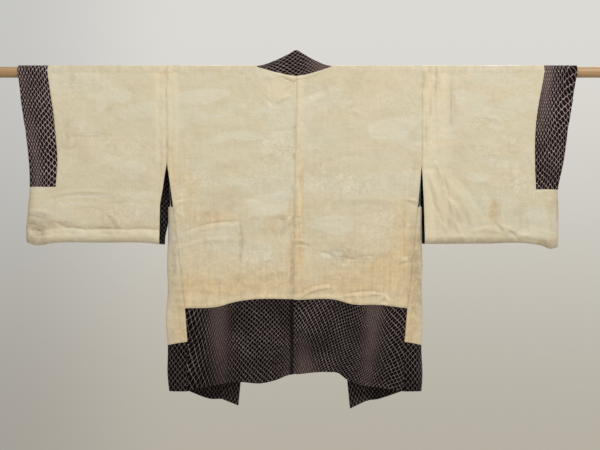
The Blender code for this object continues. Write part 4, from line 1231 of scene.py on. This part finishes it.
def makeStitches(name, lines):
    mesh = bpy.data.meshes.new("seam lines")
    points = np.concatenate(lines) * mm
    starts = np.cumsum([0] + [len(line) for line in lines])
    edges = [(k, k + 1) for low, high in zip(starts, starts[1:]) for k in range(low, high - 1)]
    mesh.from_pydata(points.tolist(), edges, [])
    item = place("seam lines", mesh)
    nodes = item.modifiers.new("stitches", "NODES")
    nodes.node_group = stitchTree(thread)
    sockets = {socket.name: socket.identifier for socket in nodes.node_group.interface.items_tree}
    for socket, value in (("Pitch", "pitch"), ("Length", "long"), ("Thickness", "thick")):
        nodes[sockets[socket]] = stitchLook[value] * mm
    nodes[sockets["Unevenness"]] = stitchLook["unevenness"]
    return plainMesh(item, name)


# Each sheet's node, its width and length as cut in metres, its real flat area, and what it hangs on.
sheets = {
    "bodyShell": ("body_shell", (0.300, 1.530), 0.320, "rod"),
    "bodyLining": ("body_lining", (0.300, 1.130), 0.258, "bodyShell"),
    "hemFacing_back": ("hem_facing_back", (0.255, 0.210), 0.046, "bodyShell"),
    "hemFacing_front": ("hem_facing_front", (0.105, 0.200), 0.0165, "bodyShell"),
    "sleeveShell": ("sleeve_shell", (0.330, 0.840), 0.262, "rod"),
    "sleeveLining": ("sleeve_lining", (0.330, 0.840), 0.232, "sleeveShell"),
    "cuffFacing": ("cuff_facing", (0.070, 0.565), 0.0385, "sleeveShell"),
    "gussetShell": ("gusset_shell", (0.100, 0.420), 0.0300, "bodyShell"),
    "gussetLining": ("gusset_lining", (0.085, 0.312), 0.0205, "gussetShell"),
    "gussetFacing": ("gusset_facing", (0.100, 0.110), 0.0094, "gussetShell"),
    "collarBand": ("collar", (0.050, 1.720), 0.0740, "rod"),
}


def hung(drape, name, end, finish, regions, lift=0.0, **form):  # end comes after the names
    node, flat, area, on = sheets[name]
    piece = drape.piece(name + end, finish, regions, lift, **form)
    settle(piece, "lining" if finish is lining else "shibori_silk", node + end)


seams, lift = [], cloth["liningLift"]  # seams are where stitches go, a line of points each
for side in sides:
    end, named = "_" + side, side.title()
    body, bodyUnder = bodyDrape(side), bodyDrape(side, under=True)
    seams += bodySeams(side, body)
    hung(bodyUnder, "bodyShell", end, net["shell"], ("backHem", "body", "frontHem"))
    hung(body, "bodyLining", end, lining, ("body",), lift, rounded=0.15)
    hung(body, "hemFacing_back", end, net["hem" + named], ("backHem",), lift)
    hung(body, "hemFacing_front", end, net["front" + named], ("frontHem",), lift)
    sleeve, sleeveUnder = sleeveDrape(side), sleeveDrape(side, under=True)
    seams += sleeveSeams(side, sleeve)
    hung(sleeveUnder, "sleeveShell", end, net["shell"], ("cuff", "sleeve"))
    hung(sleeve, "sleeveLining", end, lining, ("sleeve",), lift, rounded=0.15)
    hung(sleeve, "cuffFacing", end, net["cuff" + named], ("cuff",), lift)
    gusset = gussetDrape(side)
    hung(gusset, "gussetShell", end, net["shell"], ("gusset", "gussetHem"))
    hung(gusset, "gussetLining", end, lining, ("gusset",), lift)
    hung(gusset, "gussetFacing", end, net["gusset"], ("gussetHem",), lift)
    print("cloth hung:", side)
hung(collarDrape(), "collarBand", "", net["collar"], ("collar",), wall=cloth["collarWall"], rounded=0.7)
print("collar hung")

stitches = makeStitches("handStitches", seams)
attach(stitches, "root")
print("stitches sewn:", len(stitches.data.polygons), "faces")


# The chi are the two small loops on the collar, each of two strands twisted together.
chiLook = {"twist": 5.2, "step": 0.45, "strand": 0.53, "sunk": 0.3}


def makeChi(side):
    sign = sides[side]
    low, high = (np.array(corner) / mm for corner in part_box(f"chi_{side}"))
    radius = (high[1] - low[1]) / 2
    spread = (high[2] - low[2]) / 2 - radius
    middle = (low + high) / 2
    sewn, tip = sorted((abs(low[0]), abs(high[0])), reverse=True)
    bend = tip + spread + radius
    start = sewn - radius * chiLook["sunk"]
    leg, arc = start - bend, pi * spread
    strand = radius * chiLook["strand"]
    curve = bpy.data.curves.new(f"chiCord_{side}", "CURVE")
    curve.dimensions = "3D"
    curve.bevel_depth = strand * mm
    curve.bevel_resolution = 2
    curve.use_fill_caps = True
    at = steps(0, 2 * leg + arc, chiLook["step"])
    turn = np.clip((at - leg) / spread, 0, pi)
    alongLeg = np.minimum(at, leg) - np.clip(at - leg - arc, 0, None)
    route = np.stack((start - alongLeg - spread * np.sin(turn), 0 * at + middle[1],
                      middle[2] - spread * np.cos(turn)), axis=-1)
    sideways = np.stack((-np.sin(turn), 0 * turn, -np.cos(turn)), axis=-1)
    for phase in (0, pi):
        angle = at * 2 * pi / chiLook["twist"] + phase
        off = sideways * np.cos(angle)[:, None] + np.array((0, 1, 0)) * np.sin(angle)[:, None]
        spline = curve.splines.new("POLY")
        spline.points.add(len(at) - 1)
        for point, (out, y, z) in zip(spline.points, route + off * (radius - strand)):
            point.co = (sign * out * mm, y * mm, z * mm, 1)
    curve.materials.append(cord)
    made = plainMesh(place("chi path", curve), f"chiCord_{side}")
    mesh = bmesh.new()
    mesh.from_mesh(made.data)
    weldInto(mesh, made.data)
    settle(made, "shibori_silk", f"chi_{side}")


for side in sides:
    makeChi(side)
print("chi made")


rodLook = {"radius": 12.5, "length": 1440, "arris": 1.2, "around": 96}


def makeRod():
    radius, length, arris = (rodLook[name] * mm for name in ("radius", "length", "arris"))
    half = length / 2
    profile = [(-half, 0), (-half, radius - arris)]
    profile += [(-half + arris * (1 - np.cos(t)), radius - arris + arris * np.sin(t))
                for t in np.linspace(0.3, pi / 2, 5)]
    profile += [(x, radius) for x in np.linspace(-half * 0.9, 0, 12)]
    profile += [(-x, r) for x, r in reversed(profile[:-1])]
    mesh = bmesh.new()
    ring = [mesh.verts.new((x, 0, r)) for x, r in profile]
    edges = [mesh.edges.new(pair) for pair in zip(ring, ring[1:])]
    bmesh.ops.spin(mesh, geom=ring + edges, cent=(0, 0, 0), axis=(1, 0, 0), angle=2 * pi,
                   steps=rodLook["around"], use_merge=True)
    data = bpy.data.meshes.new("rodWood")
    weldInto(mesh, data)
    data.set_sharp_from_angle(angle=radians(40))
    data.materials.append(wood)
    settle(place("rodWood", data), "wood", "rod")


makeRod()
print("rod made")


# Away is in metres. A pixel of the image is this many millimetres wide at the cloth's face.
camera = {"away": 3.6, "pixel": 2.275, "imageWide": 600, "aimX": 5.7, "aimDrop": 349, "clothFront": 15}


def makeCamera():
    data = bpy.data.cameras.new("camera")
    data.sensor_width = 36
    imageWide = camera["imageWide"] * camera["pixel"] * mm
    data.lens = data.sensor_width * (camera["away"] - camera["clothFront"] * mm) / imageWide
    item = place("camera", data)
    item.location = (camera["aimX"] * mm, -camera["away"], -camera["aimDrop"] * mm)
    item.rotation_euler = (pi / 2, 0, 0)
    bpy.context.scene.camera = item


def areaLight(name, spot, target, size, power, colour):
    data = bpy.data.lights.new(name, "AREA")
    data.shape = "RECTANGLE"
    data.size, data.size_y = size
    data.energy = power
    data.color = colour
    item = place(name, data)
    item.location = spot
    aim = Vector(target) - Vector(spot)
    item.rotation_euler = aim.to_track_quat("-Z", "Y").to_euler()


stage = {
    "floor": {"size": 5, "height": -1.6, "colour": (0.62, 0.60, 0.56)},
    "below": (0.470, 0.437, 0.372), "above": (0.715, 0.700, 0.655), "turnsOver": (-0.15, 0.13),
    "leftSide": (0.80, 0.81, 0.84), "rightSide": (1.0, 1.0, 1.0), "fadesOver": (-0.19, -0.07),
    # the lights' places, targets, sizes, powers and colours
    "key": ((0.75, -2.45, 2.1), (-0.08, 0, -0.35), (1.1, 0.9), 69.0, (1.0, 0.985, 0.955)),
    "fill": ((-1.6, -3.2, 0.2), (0.1, 0, -0.35), (1.6, 1.6), 9, (1.0, 0.98, 0.95)),
    "behind": ((0.4, 2.6, 1.6), (0, 0, -0.3), (2.0, 1.4), 45, (1.0, 0.985, 0.96)),
}


def makeStage():
    mesh = bmesh.new()
    bmesh.ops.create_grid(mesh, x_segments=1, y_segments=1, size=stage["floor"]["size"])
    bmesh.ops.translate(mesh, verts=mesh.verts, vec=(0, 0, stage["floor"]["height"]))
    data = bpy.data.meshes.new("floor")
    mesh.to_mesh(data)
    mesh.free()
    plaster = Finish("pale floor")
    plaster.set(Base_Color=stage["floor"]["colour"], Roughness=0.9)
    data.materials.append(plaster.material)
    floor = place("floor", data)
    world = bpy.data.worlds.new("studio")
    bpy.context.scene.world = world
    world.use_nodes = True
    sky = Graph(world.node_tree)
    x, _, z = sky.parts(sky.node("ShaderNodeTexCoord", output="Generated"))
    tone = sky.mix(z.between(*stage["turnsOver"]), stage["below"], stage["above"])
    dim = sky.mix(x.between(*stage["fadesOver"]), stage["leftSide"], stage["rightSide"])
    tone = sky.mix(1.0, tone, dim, blend="MULTIPLY")
    sky.link(tone, world.node_tree.nodes["Background"].inputs["Color"])
    for name in ("key", "fill", "behind"):
        areaLight(name, *stage[name])
    bpy.context.scene.view_settings.view_transform = "Standard"


makeCamera()
makeStage()
print("stage set")
